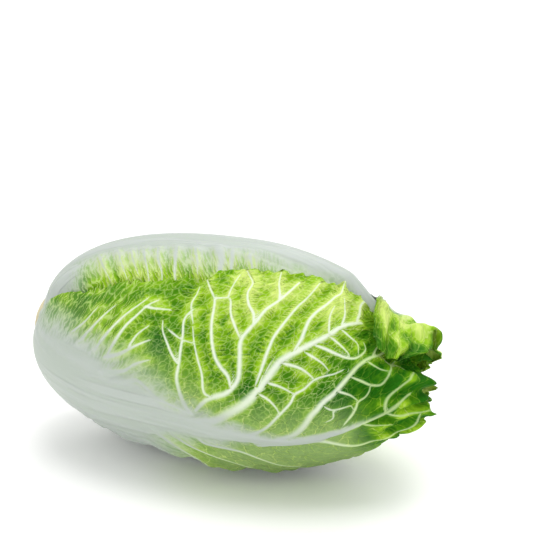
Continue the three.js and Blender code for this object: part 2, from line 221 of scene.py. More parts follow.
# The raised veins of the front leaf: half the width at the vein's start in millimetres, then the places that
# it runs through, in pixels of the photograph.
FRONT_VEINS = (
    (1.94, (196, 410), (206, 400), (216, 396), (226, 393), (234, 386), (239, 376), (240, 358), (241, 341),
     (248, 331), (257, 321), (266, 310), (278, 302), (289, 293), (299, 284)),
    (1.3, (231, 388), (228, 376), (220, 366), (215, 356), (212, 340), (212, 322), (214, 310), (215, 300),
     (211, 290), (208, 282)),
    (0.77, (240, 338), (235, 326), (231, 314), (231, 302), (229, 296), (233, 287), (240, 277)),
    (0.59, (215, 299), (229, 298)),
    (0.94, (253, 326), (254, 315), (249, 305), (248, 294), (253, 284), (248, 274)),
    (0.77, (279, 302), (280, 294), (279, 285), (281, 276)),
    (1.37, (192, 413), (186, 406), (180, 392), (177, 378), (179, 365), (181, 349), (183, 336), (184, 322),
     (188, 315), (194, 310)),
    (0.85, (212, 397), (204, 392), (202, 374), (197, 356), (194, 340), (193, 328)),
    (0.59, (193, 322), (192, 305), (197, 296), (200, 288)),
    (0.94, (179, 365), (172, 354), (167, 342), (163, 331), (163, 322)),
    (0.59, (169, 330), (181, 339), (192, 343)),
    (1.02, (256, 384), (262, 368), (266, 356), (270, 346), (274, 337), (282, 326), (290, 316), (299, 306),
     (305, 301), (312, 294), (319, 286)),
    (3.46, (178, 419), (212, 420), (228, 413), (241, 406), (253, 396), (263, 384), (271, 373), (280, 362),
     (292, 354), (304, 348), (320, 340), (331, 334), (341, 327), (353, 322), (364, 319)),
    (1.15, (294, 351), (301, 340), (305, 330), (309, 321), (316, 313), (327, 305), (335, 298), (341, 294),
     (344, 284)),
    (0.68, (329, 335), (329, 326), (330, 316), (334, 308)),
    (0.68, (341, 327), (345, 316), (345, 308), (344, 300)),
    (1.01, (358, 320), (362, 310), (363, 302), (368, 296), (379, 288)),
    (1.02, (314, 345), (325, 349), (336, 354), (347, 358), (356, 358), (364, 353), (368, 347), (367, 341)),
    (0.68, (330, 337), (340, 345), (348, 353), (350, 358)),
    (0.68, (342, 330), (352, 337), (359, 343), (359, 353)),
    (0.77, (306, 353), (316, 359), (323, 364), (328, 370)),
    (1.01, (282, 363), (297, 367), (306, 372), (315, 380)),
    (1.1, (208, 432), (225, 434), (241, 435), (257, 432), (268, 426), (276, 418), (284, 410), (291, 402),
     (295, 394), (304, 389), (314, 380), (325, 376), (334, 374), (343, 370)),
    (0.85, (268, 383), (281, 387), (294, 394)),
    (0.77, (259, 394), (269, 400), (277, 409), (279, 415)),
    (2.3, (262, 442), (284, 437), (295, 433), (304, 425), (311, 415), (317, 409), (324, 401), (333, 394),
     (341, 385), (350, 375), (358, 366), (370, 358), (377, 355), (385, 352), (391, 347)),
    (0.77, (351, 377), (361, 381), (371, 385), (381, 384), (388, 374), (393, 366), (389, 360), (385, 353)),
    (0.59, (393, 366), (401, 359)),
    (0.51, (393, 366), (401, 365), (405, 369)),
    (0.77, (374, 357), (380, 347), (383, 341)),
    (0.59, (368, 361), (380, 369), (388, 371)),
    (0.85, (344, 424), (352, 415), (356, 408), (358, 402), (365, 397), (369, 391), (370, 385)),
    (0.77, (337, 391), (350, 395), (358, 401)),
    (0.59, (325, 407), (333, 410), (345, 407), (351, 406), (354, 411)),
    (0.51, (333, 410), (333, 418), (326, 422)),
    (2.02, (262, 445), (297, 439), (319, 435), (339, 430), (359, 424), (372, 418), (384, 411), (397, 401),
     (406, 392)),
    (1.02, (384, 411), (385, 401), (389, 394), (398, 385), (411, 373)),
    (0.77, (384, 411), (398, 414), (410, 409), (423, 402)),
    (0.59, (362, 424), (378, 425), (391, 423)),
    (1.58, (258, 445), (297, 441), (319, 440), (337, 443), (357, 445), (373, 441), (389, 435), (400, 427),
     (410, 418), (414, 409)),
    (1.15, (199, 438), (206, 443), (228, 448), (244, 452), (265, 460), (282, 465), (300, 466)),
    (1.4, (150, 424), (164, 437), (180, 448), (200, 458), (222, 466)),
    (1.0, (172, 433), (188, 444), (207, 453), (230, 461), (252, 467)),
    (1.08, (107, 356), (116, 340), (126, 326), (137, 316), (149, 306), (160, 301)),
    (0.94, (146, 307), (155, 309), (171, 310)),
    (0.94, (95, 350), (106, 335), (116, 324), (127, 314), (140, 305), (149, 299)),
    (0.94, (79, 342), (91, 329), (104, 316), (116, 306)),
    (0.77, (72, 332), (85, 322), (98, 308)),
    (1.22, (104, 357), (119, 354), (131, 348), (142, 343), (150, 340)),
    (0.77, (128, 349), (137, 335), (149, 326)),
    (1.15, (104, 371), (123, 371), (135, 364), (149, 360)),
    (1.15, (112, 382), (130, 381), (137, 380), (146, 387), (156, 397), (170, 404), (190, 413)),
)

# The same for the top leaf, over the front leaf's edge.
TOP_VEINS = (
    (0.5, (100, 256), (103, 266), (107, 276)),
    (0.5, (118, 251), (121, 262), (124, 274)),
    (0.4, (131, 250), (133, 260), (136, 270)),
    (0.7, (143, 249), (145, 258), (146, 268), (146, 278)),
    (0.8, (158, 248), (158, 258), (160, 268), (159, 277)),
    (1.3, (177, 247), (175, 258), (173, 268), (173, 277)),
    (0.5, (195, 247), (197, 258), (196, 268)),
    (2.8, (217, 247), (221, 256), (219, 264), (214, 272), (208, 281)),
    (1.3, (233, 250), (231, 260), (229, 270), (227, 278)),
    (0.6, (250, 253), (252, 262), (250, 271)),
)

# The leaves, outermost first. These are the solids' own values: the station of the tip, the waves along the
# sides (rows) and across the tip (columns), in millimetres the puckers' depth (relief) and how far the tip's
# corners are cut back (rounding), then lists that are read at even distances from base to tip: the midrib's
# angle and how far the growing and the falling edge lie from it in degrees, and the stalk's half-width in
# millimetres. A flap is a part of the tip that stands out: its angle and half-width, and how far out and
# ahead it goes. The falling edge lies flat up to the station calm. The rest belongs to the fine blade.
# Crumpled is how far the folds of its tip stand out, in millimetres. From about snug degrees off the midrib
# it lies close to the leaf above. Grid is its rows and columns, and tones is its green from base to tip (0
# pale, 1 dark). White is the half-width of the stalk's white, where it isn't the stalk's own, and fade is
# where that white begins and ends to fade, in widths of its soft edge. The blade is white up to the first
# station of base and green from the second, with another pair for the falling side. Its ridges are long
# narrow pleats up to the first station of pleats, and there are none from the second.
LEAVES = (
    dict(name="leaf_1", tip=344, rows=22, columns=20, relief=2.8, rounding=14, calm=285,
         midrib=(158, 160, 161, 160, 158, 114), growing=(58, 60, 66, 74, 78, 72, 56),
         falling=(32, 32, 31, 30, 30, 30, 30, 29, 27, 25, 24, 23, 23, 27, 84, 78, 62),
         stalk=(22, 36, 34, 28, 18, 7), flaps=((106, 16, 13, -11), (74, 14, 9, 1), (152, 18, 6, 2)),
         crumpled=6.0, grid=(240, 180), tones=(0.35, 0.4, 0.42, 0.4, 0.36, 0.15, 0.4),
         base=(55, 90), pleats=(110, 170), patches=FOLD_PATCHES, shoulder=SHOULDER_WHITE),
    dict(name="leaf_2", tip=348, rows=22, columns=20, relief=2.8, rounding=5,
         midrib=(-18, -18, -18, -17, -17, -20, -24, -15, 0), growing=(46, 62, 66, 71, 78, 95, 111, 112, 80),
         falling=(46, 46, 43, 38, 36, 46, 61, 63, 55), stalk=(22, 35, 38, 28, 15, 8, 4, 3, 2),
         flaps=((36, 19, 8, 4), (-40, 20, 7, 4)),
         white=(22, 35, 38, 28, 12, 5, 2, 1, 1), fade=(-2.0, 0.5), grid=(290, 258),
         tones=(0.5, 0.58, 0.54, 0.5, 0.5, 0.55, 0.67, 0.76), base=(35, 60, 142, 178), pleats=(120, 165),
         patches=FRONT_PATCHES, veins=FRONT_VEINS),
    dict(name="leaf_3", tip=341, rows=20, columns=18, relief=2.8, rounding=14,
         midrib=(-88, -90, -92, -92, -90, -88), growing=(44, 50, 58, 65, 72, 60),
         falling=(60, 60, 65, 75, 85, 66), stalk=(22, 36, 36, 30, 18, 7),
         grid=(200, 160), tones=(0.4, 0.45, 0.55, 0.6, 0.6, 0.6, 0.8), base=(120, 165), pleats=(110, 160)),
    dict(name="leaf_4", tip=347, rows=22, columns=20, relief=2.8, rounding=14,
         midrib=(104, 103, 103, 106, 112, 120), growing=(40, 50, 60, 70, 75, 62),
         falling=(70, 66, 58, 60, 64, 68, 72, 76, 70), stalk=(22, 36, 36, 30, 14, 8), flaps=((56, 16, 0, 6),),
         snug=20, fade=(-1.7, 1.0), grid=(240, 180), tones=(0.48, 0.45, 0.42, 0.38, 0.34, 0.34, 0.6),
         base=(66, 90), pleats=(205, 245), shoulder=SHOULDER_WHITE, veins=TOP_VEINS),
    dict(name="leaf_5", tip=341, midrib=(215, 215), growing=(42, 52, 60, 70, 75, 64),
         stalk=(22, 35, 34, 28, 17, 7), tones=(0.2, 0.2, 0.25, 0.5)),
    dict(name="leaf_6", tip=346, midrib=(45, 45), growing=(42, 52, 58, 62, 70, 66),
         falling=(42, 52, 60, 70, 80, 66), stalk=(20, 33, 33, 27, 17, 7), tones=(0.2, 0.2, 0.25, 0.6)),
    dict(name="leaf_7", tip=343, midrib=(-52, -42), growing=(40, 50, 60, 70, 75, 66),
         stalk=(18, 28, 28, 24, 15, 6), tones=(0.15, 0.15, 0.2, 0.4)),
    dict(name="leaf_8", tip=345, midrib=(142, 132), growing=(40, 50, 60, 70, 75, 66),
         stalk=(18, 28, 28, 24, 15, 6), tones=(0.12, 0.12, 0.16, 0.35)),
)


def hex_to_linear(code):
    """The linear colour of an sRGB hex value, with full cover."""
    channels = [int(code[i:i + 2], 16) / 255 for i in (1, 3, 5)]
    return (*(c / 12.92 if c <= 0.04045 else ((c + 0.055) / 1.055) ** 2.4 for c in channels), 1.0)


def look_colour(name, description, code):
    """A colour that a user would change, with its sRGB hex value as default."""
    return FloatVectorProperty(
        name=name, description=description, subtype="COLOR", size=4, default=hex_to_linear(code))


def look_power(name, description, watts):
    """A light's power that a user would change."""
    return FloatProperty(name=name, description=description, unit="POWER", default=watts, min=0)


class CabbageLook(PropertyGroup):
    """Colours and lights that a user would change."""

    pale_green: look_colour("Pale green", "The youngest blades", "#C8DD72")
    bright_green: look_colour("Bright green", "The outer blades", "#8CB81A")
    deep_green: look_colour("Deep green", "The hollows and edges", "#4A8202")
    tip_green: look_colour("Tip green", "The leaf tips", "#1A6000")
    bloom_green: look_colour("Bloom green", "A blade under grey wax", "#8AA566")
    net_green: look_colour("Net green", "The net of fine veins", "#C6DC9A")
    vein_white: look_colour("Vein white", "The raised veins", "#DAE3D1")
    # Painted shade: the stalks' white is a darker copy of the veins' white.
    shaded_stalk_white: look_colour("Stalk white", "The leaf stalks", "#B0B8B1")
    stem_cream: look_colour("Stem cream", "The cut stem", "#E2E0C8")
    floor_white: look_colour("Floor white", "The table", "#FFFFFE")
    key_power: look_power("Key light", "Power of the large soft light above", 11.0)
    back_power: look_power("Back light", "Power of the wide light on the table behind", 42.0)
    fill_power: look_power("Fill light", "Power of the soft light in front", 7.0)


# The barrel and its fields

def smooth(value, low, high):
    """0 below low, 1 above high, and an even S between them."""
    x = np.clip((value - low) / (high - low), 0, 1)
    return x * x * (3 - 2 * x)


def along(values, share):
    """Evenly spaced values read as one smooth curve, with share from 0 to 1."""
    table = np.asarray(values, float)
    place = np.clip(share, 0, 1) * (len(table) - 1)
    i = np.minimum(place.astype(int), len(table) - 2)
    x = place - i
    a, b, c, d = (table[np.clip(i + k, 0, len(table) - 1)] for k in (-1, 0, 1, 2))
    return b + 0.5 * x * (c - a + x * (2 * a - 5 * b + 4 * c - d + x * (3 * (b - c) + d - a)))


def barrel_outline(steps=2000):
    """Two superellipse quarters that meet at the belly: distances along them, and the points' X and
    radius."""
    turn = np.linspace(0, np.pi, steps + 1)
    tipwards = turn > np.pi / 2
    power = 2 / np.where(tipwards, TIP_BLUNTNESS, BASE_BLUNTNESS)
    reach = np.abs(np.cos(turn)) ** power
    x = np.where(tipwards, BELLY_AT + (HEAD_LENGTH - BELLY_AT) * reach, BELLY_AT * (1 - reach))
    radius = HEAD_RADIUS * np.clip(np.sin(turn), 0, 1) ** power
    distance = np.concatenate([[0], np.cumsum(np.hypot(np.diff(x), np.diff(radius)))])
    return distance, x, radius


OUTLINE, OUTLINE_X, OUTLINE_RADIUS = barrel_outline()
OUTLINE_LENGTH = OUTLINE[-1]


def outline_point(station):
    """X and radius of the barrel at a station."""
    return np.interp(station, OUTLINE, OUTLINE_X), np.interp(station, OUTLINE, OUTLINE_RADIUS)


def outline_normal(station, step=3.0):
    """The barrel's outward direction at a station, square to the chord from just before it to just after."""
    x0, r0 = outline_point(np.maximum(station - step, 0))
    x1, r1 = outline_point(np.minimum(station + step, OUTLINE_LENGTH))
    size = np.hypot(x1 - x0, r1 - r0)
    return -(r1 - r0) / size, (x1 - x0) / size


def place(station, angle, lift):
    """Points of the head in millimetres, X along it from the base, Z up from the table."""
    x, radius = outline_point(station)
    nx, nr = outline_normal(station)
    out = radius + nr * lift
    return np.stack([x + nx * lift, -out * np.cos(angle), out * np.sin(angle) + AXIS_HEIGHT], axis=-1)


def ground_lift(station, angle):
    """The highest lift that stays above the table, where the skin faces down."""
    sine = np.sin(angle)
    radius = outline_point(station)[1]
    normal = outline_normal(station)[1]
    below = (sine <= -0.5) & (normal >= 0.2)
    room = -AXIS_HEIGHT / np.where(below, sine, -1) - radius
    return np.where(below, room / np.where(below, normal, 1), UNLIMITED)


def skin(station, angle):
    """The lift of the whole head's skin: flared round the open end, and pressed flat underneath."""
    flare = MOUTH_FLARE * smooth(station, MOUTH_FROM, MOUTH_TO) * (1 + 0.3 * np.sin(3 * angle + 1))
    return np.minimum(flare, ground_lift(station, angle))


def spread(values, reach, rule):
    """Each cell of a field becomes rule(cells within reach), with stations clamped and angles wrapped."""
    padded = np.pad(np.pad(values, ((reach, reach), (0, 0)), "edge"), ((0, 0), (reach, reach)), "wrap")
    windows = np.lib.stride_tricks.sliding_window_view(padded, (2 * reach + 1, 2 * reach + 1))
    return rule(windows, axis=(2, 3))


def draped_under(values):
    """The smooth field that is nowhere above this one."""
    return spread(spread(values, 2, np.min), 2, np.mean)


def cubic_weights(x):
    """Weights of a place's four neighbours, for a smooth curve through them that turns as its chords do."""
    return (
        0.5 * x * (-1 + x * (2 - x)), 1 + 0.5 * x * x * (3 * x - 5), 0.5 * x * (1 + x * (4 - 3 * x)),
        0.5 * x * x * (x - 1))


def read(values, station, angle):
    """A field at any place, by cubic weights both ways."""
    y = np.clip(station / OUTLINE_LENGTH * (LATTICE_STATIONS - 1), 0, LATTICE_STATIONS - 1.001)
    x = angle / (2 * np.pi) * LATTICE_ANGLES
    i, j = np.floor(y).astype(int), np.floor(x).astype(int)
    total = 0
    for a, down in zip((-1, 0, 1, 2), cubic_weights(y - i)):
        row = np.clip(i + a, 0, LATTICE_STATIONS - 1)
        for b, across in zip((-1, 0, 1, 2), cubic_weights(x - j)):
            total = total + down * across * values[row, (j + b) % LATTICE_ANGLES]
    return total


class Roof:
    """How far below the skin the leaves laid so far reach, and where none has been laid yet."""

    def __init__(self):
        stations = np.linspace(0, OUTLINE_LENGTH, LATTICE_STATIONS)
        angles = np.linspace(0, 2 * np.pi, LATTICE_ANGLES, endpoint=False)
        self.station, self.angle = np.meshgrid(stations, angles, indexing="ij")
        self.drop = np.zeros(self.station.shape)
        self.bare = np.ones(self.station.shape)


# Leaves

def patched(station, angle, patches):
    """The sum of soft round patches: each has its strength at its middle and falls off by a bell curve."""
    total = 0 * station
    for at_station, at_angle, size, strength in patches:
        gap = np.hypot(
            station - at_station, np.radians(np.degrees(angle) - at_angle) * outline_point(station)[1])
        total = total + strength * np.exp(-(gap / size) ** 2)
    return total


class Leaf:
    """One leaf's place on the head, by the same rules as its solid, and its green."""

    # What a leaf has where its settings don't say otherwise.
    rows, columns = 14, 16
    relief = 1.6
    rounding = 16
    calm = 0
    flaps = ()
    crumpled = 2.0
    snug = 360
    fade = (-0.7, 0.6)
    grid = (130, 120)
    base = (60, 100)
    pleats = (130, 185)
    patches = shoulder = veins = ()

    def __init__(self, roof, settings, start=STEM_EDGE):
        self.__dict__.update(settings)
        self.falling = settings.get("falling", self.growing)
        self.white = settings.get("white", self.stalk)
        self.start = start
        self.length = self.tip - start
        self.roof = draped_under(roof.drop)
        self.open = draped_under(roof.bare)

    def share(self, station):
        """0 at the base and 1 at the tip."""
        return (station - self.start) / self.length

    def middle(self, station):
        """The midrib's angle."""
        return np.radians(along(self.midrib, self.share(station)))

    def width(self, station, side):
        """The angle from the midrib to the edge, on the growing side where side is positive."""
        share = self.share(station)
        return np.radians(np.where(side > 0, along(self.growing, share), along(self.falling, share)))

    def width_mm(self, station, side):
        """The same as a length round the barrel."""
        return self.width(station, side) * outline_point(station)[1]

    def turned(self, station, angle):
        """The angle from the midrib."""
        away = angle - self.middle(station)
        return np.arctan2(np.sin(away), np.cos(away))

    def across(self, station, angle):
        """0 on the midrib, 1 and -1 on the edges."""
        turned = self.turned(station, angle)
        return turned / self.width(station, turned)

    def stalk_share(self, station, angle):
        """1 in the middle of the white stalk, 0 outside it, by a power of 1 less the square of the way
        out."""
        if not self.stalk:
            return np.zeros(np.shape(station))
        off_middle = self.turned(station, angle) * outline_point(station)[1]
        return np.clip(1 - (off_middle / along(self.stalk, self.share(station))) ** 2, 0, 1) ** 1.3

    def thickness(self, station, angle, blade):
        """The blade's thickness, and the stalk's on top of it."""
        return blade + self.stalk_share(station, angle) * along(STALK_THICKNESS, self.share(station))

    def flapped(self, s, angle):
        """How far the tip's flaps carry a place out and forward: a bell curve round the middle of each."""
        lift, reach = 0, 0
        for middle, half_width, out, ahead in self.flaps:
            bell = np.exp(-((np.degrees(angle) - middle) / half_width) ** 2) * smooth(s, 0.86, 1) ** 2
            lift, reach = lift + out * bell, reach + ahead * bell
        return lift, reach

    def proud(self):
        """How far the stalk stands above the blade."""
        return STALK_PROUD if self.stalk else 0.0

    def folded(self):
        """Whether its tip is folded over, and so crumpled more than it is puckered."""
        return self.crumpled > 3

    def lay(self, roof):
        """Takes the solid leaf's room off the roof."""
        station, angle = roof.station, roof.angle
        across = self.across(station, angle)
        inside = (np.abs(across) <= 1) & (station >= self.start - 1)
        inside &= station <= self.tip - self.rounding * across ** 2
        puckered = self.relief * smooth(np.abs(across), 0, 0.3)
        sag = (1 - self.stalk_share(station, angle)) * (self.proud() + puckered)
        taken = sag + self.thickness(station, angle, BLADE_THICKNESS) + LEAF_GAP
        roof.drop = np.where(inside, np.minimum(roof.drop, self.roof - taken), roof.drop)
        roof.bare = np.where(inside, 0.0, roof.bare)

    def bloom(self, station, angle):
        """The share of grey wax: a little all over."""
        return 0.04 + 0 * station

    def dark_edge(self, station):
        """How much deeper the green is at the edge: the same all along."""
        return 0.25 + 0 * station

    def rungs(self, station, angle):
        """The share of ribs between the veins: all over the leaf, but not where its tip crumples."""
        return 1 - smooth(station, 265, 285)


class FrontLeaf(Leaf):
    """The big leaf in front, whose green is read from the photograph."""

    def bloom(self, station, angle):
        """It is greyer below its midrib, except at the tip, and in the patches of wax."""
        low = 1 - smooth(np.degrees(angle), -26, 12)
        low = 0.02 + 0.9 * low * smooth(station, 150, 215) * (1 - smooth(station, 285, 315))
        return low + patched(station, angle, FRONT_WAX)

    def dark_edge(self, station):
        """Its edge is paler than the blade, most of all near the base, and a little deeper at the tip."""
        return -0.14 + 0.04 * smooth(station, 190, 215) + 0.14 * smooth(station, 290, 310)

    def rungs(self, station, angle):
        """It has ribs above its longest side vein, and a plain net below it and beside the stalk."""
        above = smooth(np.degrees(angle) + 10 - 0.81 * (station - 196), -4, 8)
        return above * np.clip(1 - patched(station, angle, FRONT_HOLLOWS), 0, 1)


# Patterns of the blade

def value_noise(a, b, seed):
    """Smooth noise from 0 to 1: random numbers on a grid of unit squares, blended by an even S both ways."""
    table = np.random.default_rng(seed).random((64, 64))
    i, j = np.floor(a).astype(int), np.floor(b).astype(int)
    u, v = smooth(a - i, 0, 1), smooth(b - j, 0, 1)
    near = table[i % 64, j % 64] * (1 - v) + table[i % 64, (j + 1) % 64] * v
    far = table[(i + 1) % 64, j % 64] * (1 - v) + table[(i + 1) % 64, (j + 1) % 64] * v
    return near * (1 - u) + far * u


def smooth_route(points, pieces=4):
    """A route's points with more between them, on one smooth curve."""
    share = np.linspace(0, 1, (len(points) - 1) * pieces + 1)
    return np.stack([along([p[k] for p in points], share) for k in range(len(points[0]))], axis=-1)


def camera_axes():
    """Where the camera stands, and its right, up and forward directions, from the middle of the underside."""
    turn, rise = np.radians(CAMERA_AZIMUTH), np.radians(CAMERA_ELEVATION)
    level = np.cos(rise)
    stand = CAMERA_DISTANCE * np.array([np.sin(turn) * level, -np.cos(turn) * level, np.sin(rise)])
    forward = np.array(CAMERA_AIM) - stand
    forward = forward / np.linalg.norm(forward)
    right = np.cross(forward, (0, 0, 1))
    right = right / np.linalg.norm(right)
    return stand, right, np.cross(right, forward), forward


def pixels_of(station, angle):
    """The photograph's pixels of places on the barrel's skin, and how squarely each faces the camera."""
    stand, right, up, forward = camera_axes()
    point = place(station, angle, np.full(np.shape(station), VEIN_LIFT)) - (CAMERA_FROM_BASE, 0, 0)
    nx, nr = outline_normal(station)
    normal = np.stack([nx + 0 * angle, -nr * np.cos(angle), nr * np.sin(angle)], axis=-1)
    ray = point - stand
    depth = ray @ forward
    focal = CAMERA_LENS / SENSOR_WIDTH * IMAGE_SIDE
    middle = IMAGE_SIDE / 2
    pixel = np.stack([middle + focal * (ray @ right) / depth, middle - focal * (ray @ up) / depth], -1)
    return pixel, -(normal * ray).sum(-1)


def places_of(pixels):
    """Stations and angles of the photograph's pixels: the nearest of a grid of places, moved along the slopes
    at which pixels change with station and angle."""
    station, angle = np.meshgrid(np.arange(20.0, 350.0, 4.0), np.radians(np.arange(-90.0, 140.0, 3.0)))
    station, angle = station.T.ravel(), angle.T.ravel()
    seen, facing = pixels_of(station, angle)
    station, angle, seen = station[facing > 0], angle[facing > 0], seen[facing > 0]
    target = np.asarray(pixels, float)
    nearest = ((target[:, None, :] - seen[None, :, :]) ** 2).sum(-1).argmin(1)
    station, angle = station[nearest], angle[nearest]
    for _ in range(SLOPE_STEPS):
        here = pixels_of(station, angle)[0]
        per_station = pixels_of(station + STATION_STEP, angle)[0] - here
        per_angle = pixels_of(station, angle + ANGLE_STEP)[0] - here
        miss = target - here
        area = per_station[:, 0] * per_angle[:, 1] - per_station[:, 1] * per_angle[:, 0]
        area = np.where(np.abs(area) < 0.05, 0.05, area)
        move_s = (miss[:, 0] * per_angle[:, 1] - miss[:, 1] * per_angle[:, 0]) / area
        move_a = (per_station[:, 0] * miss[:, 1] - per_station[:, 1] * miss[:, 0]) / area
        station = np.clip(station + STATION_STEP * np.clip(move_s, -MOST_SLOPES, MOST_SLOPES), 5, 360)
        angle = angle + ANGLE_STEP * np.clip(move_a, -MOST_SLOPES, MOST_SLOPES)
    return station, angle


def photo_routes(veins):
    """Veins read from the photograph as routes over the barrel: half a width, then stations and angles."""
    return [(half, smooth_route(np.stack(places_of(pixels), -1))) for half, *pixels in veins]


def grown_routes(leaf, seed):
    """Side veins for a leaf that the photograph doesn't show: pairs that leave the stalk at uneven distances,
    lean towards the tip, wander a little, and most of which fork half-way. A calm edge's side has fewer."""
    rng = np.random.default_rng(seed)
    routes = []
    for side in (1, -1):
        station = leaf.start + rng.uniform(*FIRST_VEIN)
        last = leaf.tip - 28 if side > 0 or not leaf.calm else leaf.calm - 70
        while station < last:
            share = leaf.share(station)
            begin = 0.8 * along(leaf.stalk, share) / max(leaf.width_mm(station, side), 1)
            t = np.linspace(min(begin, 0.7), 0.97, 9)
            lean = rng.uniform(*VEIN_LEAN) * (1 - 0.35 * share)
            sway = rng.uniform(-VEIN_SWAY, VEIN_SWAY) * np.sin(np.linspace(0, rng.uniform(3, 6), 9))
            path = station + lean * (t - t[0]) ** 1.15 + sway
            half = rng.uniform(*VEIN_HALF) * (1 - 0.6 * share)
            routes.append((half, smooth_route(np.stack([path, route_angle(leaf, path, side * t)], -1))))
            if rng.random() < FORKED_SHARE:
                k = rng.integers(2, 5)
                fork = np.linspace(0, 1, 7)
                away = rng.choice([-1, 1]) * rng.uniform(*FORK_REACH)
                path = np.interp(t[k] + fork * (0.97 - t[k]), t, path) + away * fork ** 0.8
                turn = route_angle(leaf, path, side * (t[k] + fork * (0.97 - t[k])))
                routes.append((0.6 * half, smooth_route(np.stack([path, turn], -1))))
            station += rng.uniform(*NEXT_VEIN)
    return routes


def route_angle(leaf, station, t):
    """The angle of a place t of the way from a leaf's midrib to its edge."""
    return leaf.middle(station) + t * leaf.width(station, t)


def vein_field(station, angle, routes):
    """For each place the distances in millimetres to the nearest and the second nearest vein, where along the
    nearest one it lies, half that vein's width there, and on which side of it the place is, 1 or -1. A vein
    is a chain of straight stretches that taper."""
    radius = outline_point(station)[1]
    radius, place_s, place_a = radius.ravel(), station.ravel(), angle.ravel()
    nothing = np.array([[FAR], [0.0], [1.0], [1.0]])
    found = np.repeat(nothing, station.size, axis=1)
    second = np.full(station.size, FAR)
    for number, (half, route) in enumerate(routes):
        low, high = route.min(0), route.max(0)
        near = np.flatnonzero(
            (place_s > low[0] - FAR) & (place_s < high[0] + FAR)
            & ((place_a - low[1]) * radius > -FAR) & ((place_a - high[1]) * radius < FAR))
        if not near.size:
            continue
        own = np.repeat(nothing, near.size, axis=1)
        run = RIB_SHIFT * number
        for k in range(len(route) - 1):
            step_s = route[k + 1, 0] - route[k, 0]
            step_a = radius[near] * (route[k + 1, 1] - route[k, 1])
            to_s, to_a = place_s[near] - route[k, 0], radius[near] * (place_a[near] - route[k, 1])
            size = np.maximum(step_s ** 2 + step_a ** 2, 1e-6)
            t = np.clip((to_s * step_s + to_a * step_a) / size, 0, 1)
            distance = np.hypot(to_s - t * step_s, to_a - t * step_a)
            side = np.where(to_s * step_a - to_a * step_s > 0, 1.0, -1.0)
            share = (k + t) / (len(route) - 1)
            tapered = half * (1 - 0.75 * share) * np.minimum(1, 0.4 + 4 * share)
            here = np.stack([distance, run + RIB_SIDE_SHIFT * side + t * np.sqrt(size), tapered, side])
            own = np.where(distance < own[0], here, own)
            run += np.sqrt(size).mean()
        first = own[0] < found[0, near]
        second[near] = np.where(first, found[0, near], np.minimum(second[near], own[0]))
        found[:, near] = np.where(first, own, found[:, near])
    return [field.reshape(station.shape) for field in (found[0], second, *found[1:])]


# Meshes

def head_origin():
    """Where the head's own zero lies in the frame, from the stem, whose face is at a known station."""
    low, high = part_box("stem")
    x, _ = outline_point(STEM_EDGE)
    nx, _ = outline_normal(STEM_EDGE)
    face = (x + nx * STEM_PROUD) * MM
    return np.array([low.x - face, 0.5 * (low.y + high.y), 0.5 * (low.z + high.z) - AXIS_HEIGHT * MM])


HEAD_ORIGIN = head_origin()


def grid_faces(rows, columns, start=0, flip=False, ring=False):
    """Corner numbers of a grid's quads. In a ring the last column meets the first."""
    width = columns if ring else columns + 1
    i, j = np.meshgrid(np.arange(rows), np.arange(columns), indexing="ij")
    k = (j + 1) % width
    a, b, c, d = i * width + j, i * width + k, (i + 1) * width + k, (i + 1) * width + j
    quads = np.stack([a, d, c, b] if not flip else [a, b, c, d], axis=-1).reshape(-1, 4)
    return quads + start


def rim_numbers(rows, columns):
    """A grid's border, in order round it."""
    width = columns + 1
    return np.concatenate([
        np.arange(columns), np.arange(rows) * width + columns,
        rows * width + np.arange(columns, 0, -1), np.arange(rows, 0, -1) * width])


def closed_blade(outer, inner):
    """A closed blade: a fine outer face, an inner face with half as many rows and columns, and a rim between
    them, in which each inner edge meets two outer ones."""
    rows, columns = outer.shape[0] - 1, outer.shape[1] - 1
    count = outer.shape[0] * outer.shape[1]
    upper = rim_numbers(rows, columns)
    lower = rim_numbers(rows // 2, columns // 2) + count
    first, middle, last = upper[0::2], upper[1::2], np.roll(upper[0::2], -1)
    following = np.roll(lower, -1)
    triangles = np.concatenate([
        np.stack([first, middle, lower], -1), np.stack([middle, following, lower], -1),
        np.stack([middle, last, following], -1)])
    quads = np.concatenate([
        grid_faces(rows, columns), grid_faces(rows // 2, columns // 2, start=count, flip=True)])
    points = np.concatenate([outer.reshape(-1, 3), inner.reshape(-1, 3)])
    return points, quads, triangles


def closed_rings(rings, first, last):
    """A closed skin: rings joined by quads, with a fan of triangles at each end, to a first and a last
    point."""
    rows, columns = rings.shape[0] - 1, rings.shape[1]
    points = np.concatenate([rings.reshape(-1, 3), [first], [last]])
    j = np.arange(columns)
    k = (j + 1) % columns
    end = rows * columns
    triangles = np.concatenate([
        np.stack([0 * j + len(points) - 2, j, k], -1),
        np.stack([0 * j + len(points) - 1, end + k, end + j], -1)])
    return points, grid_faces(rows, columns, ring=True), triangles


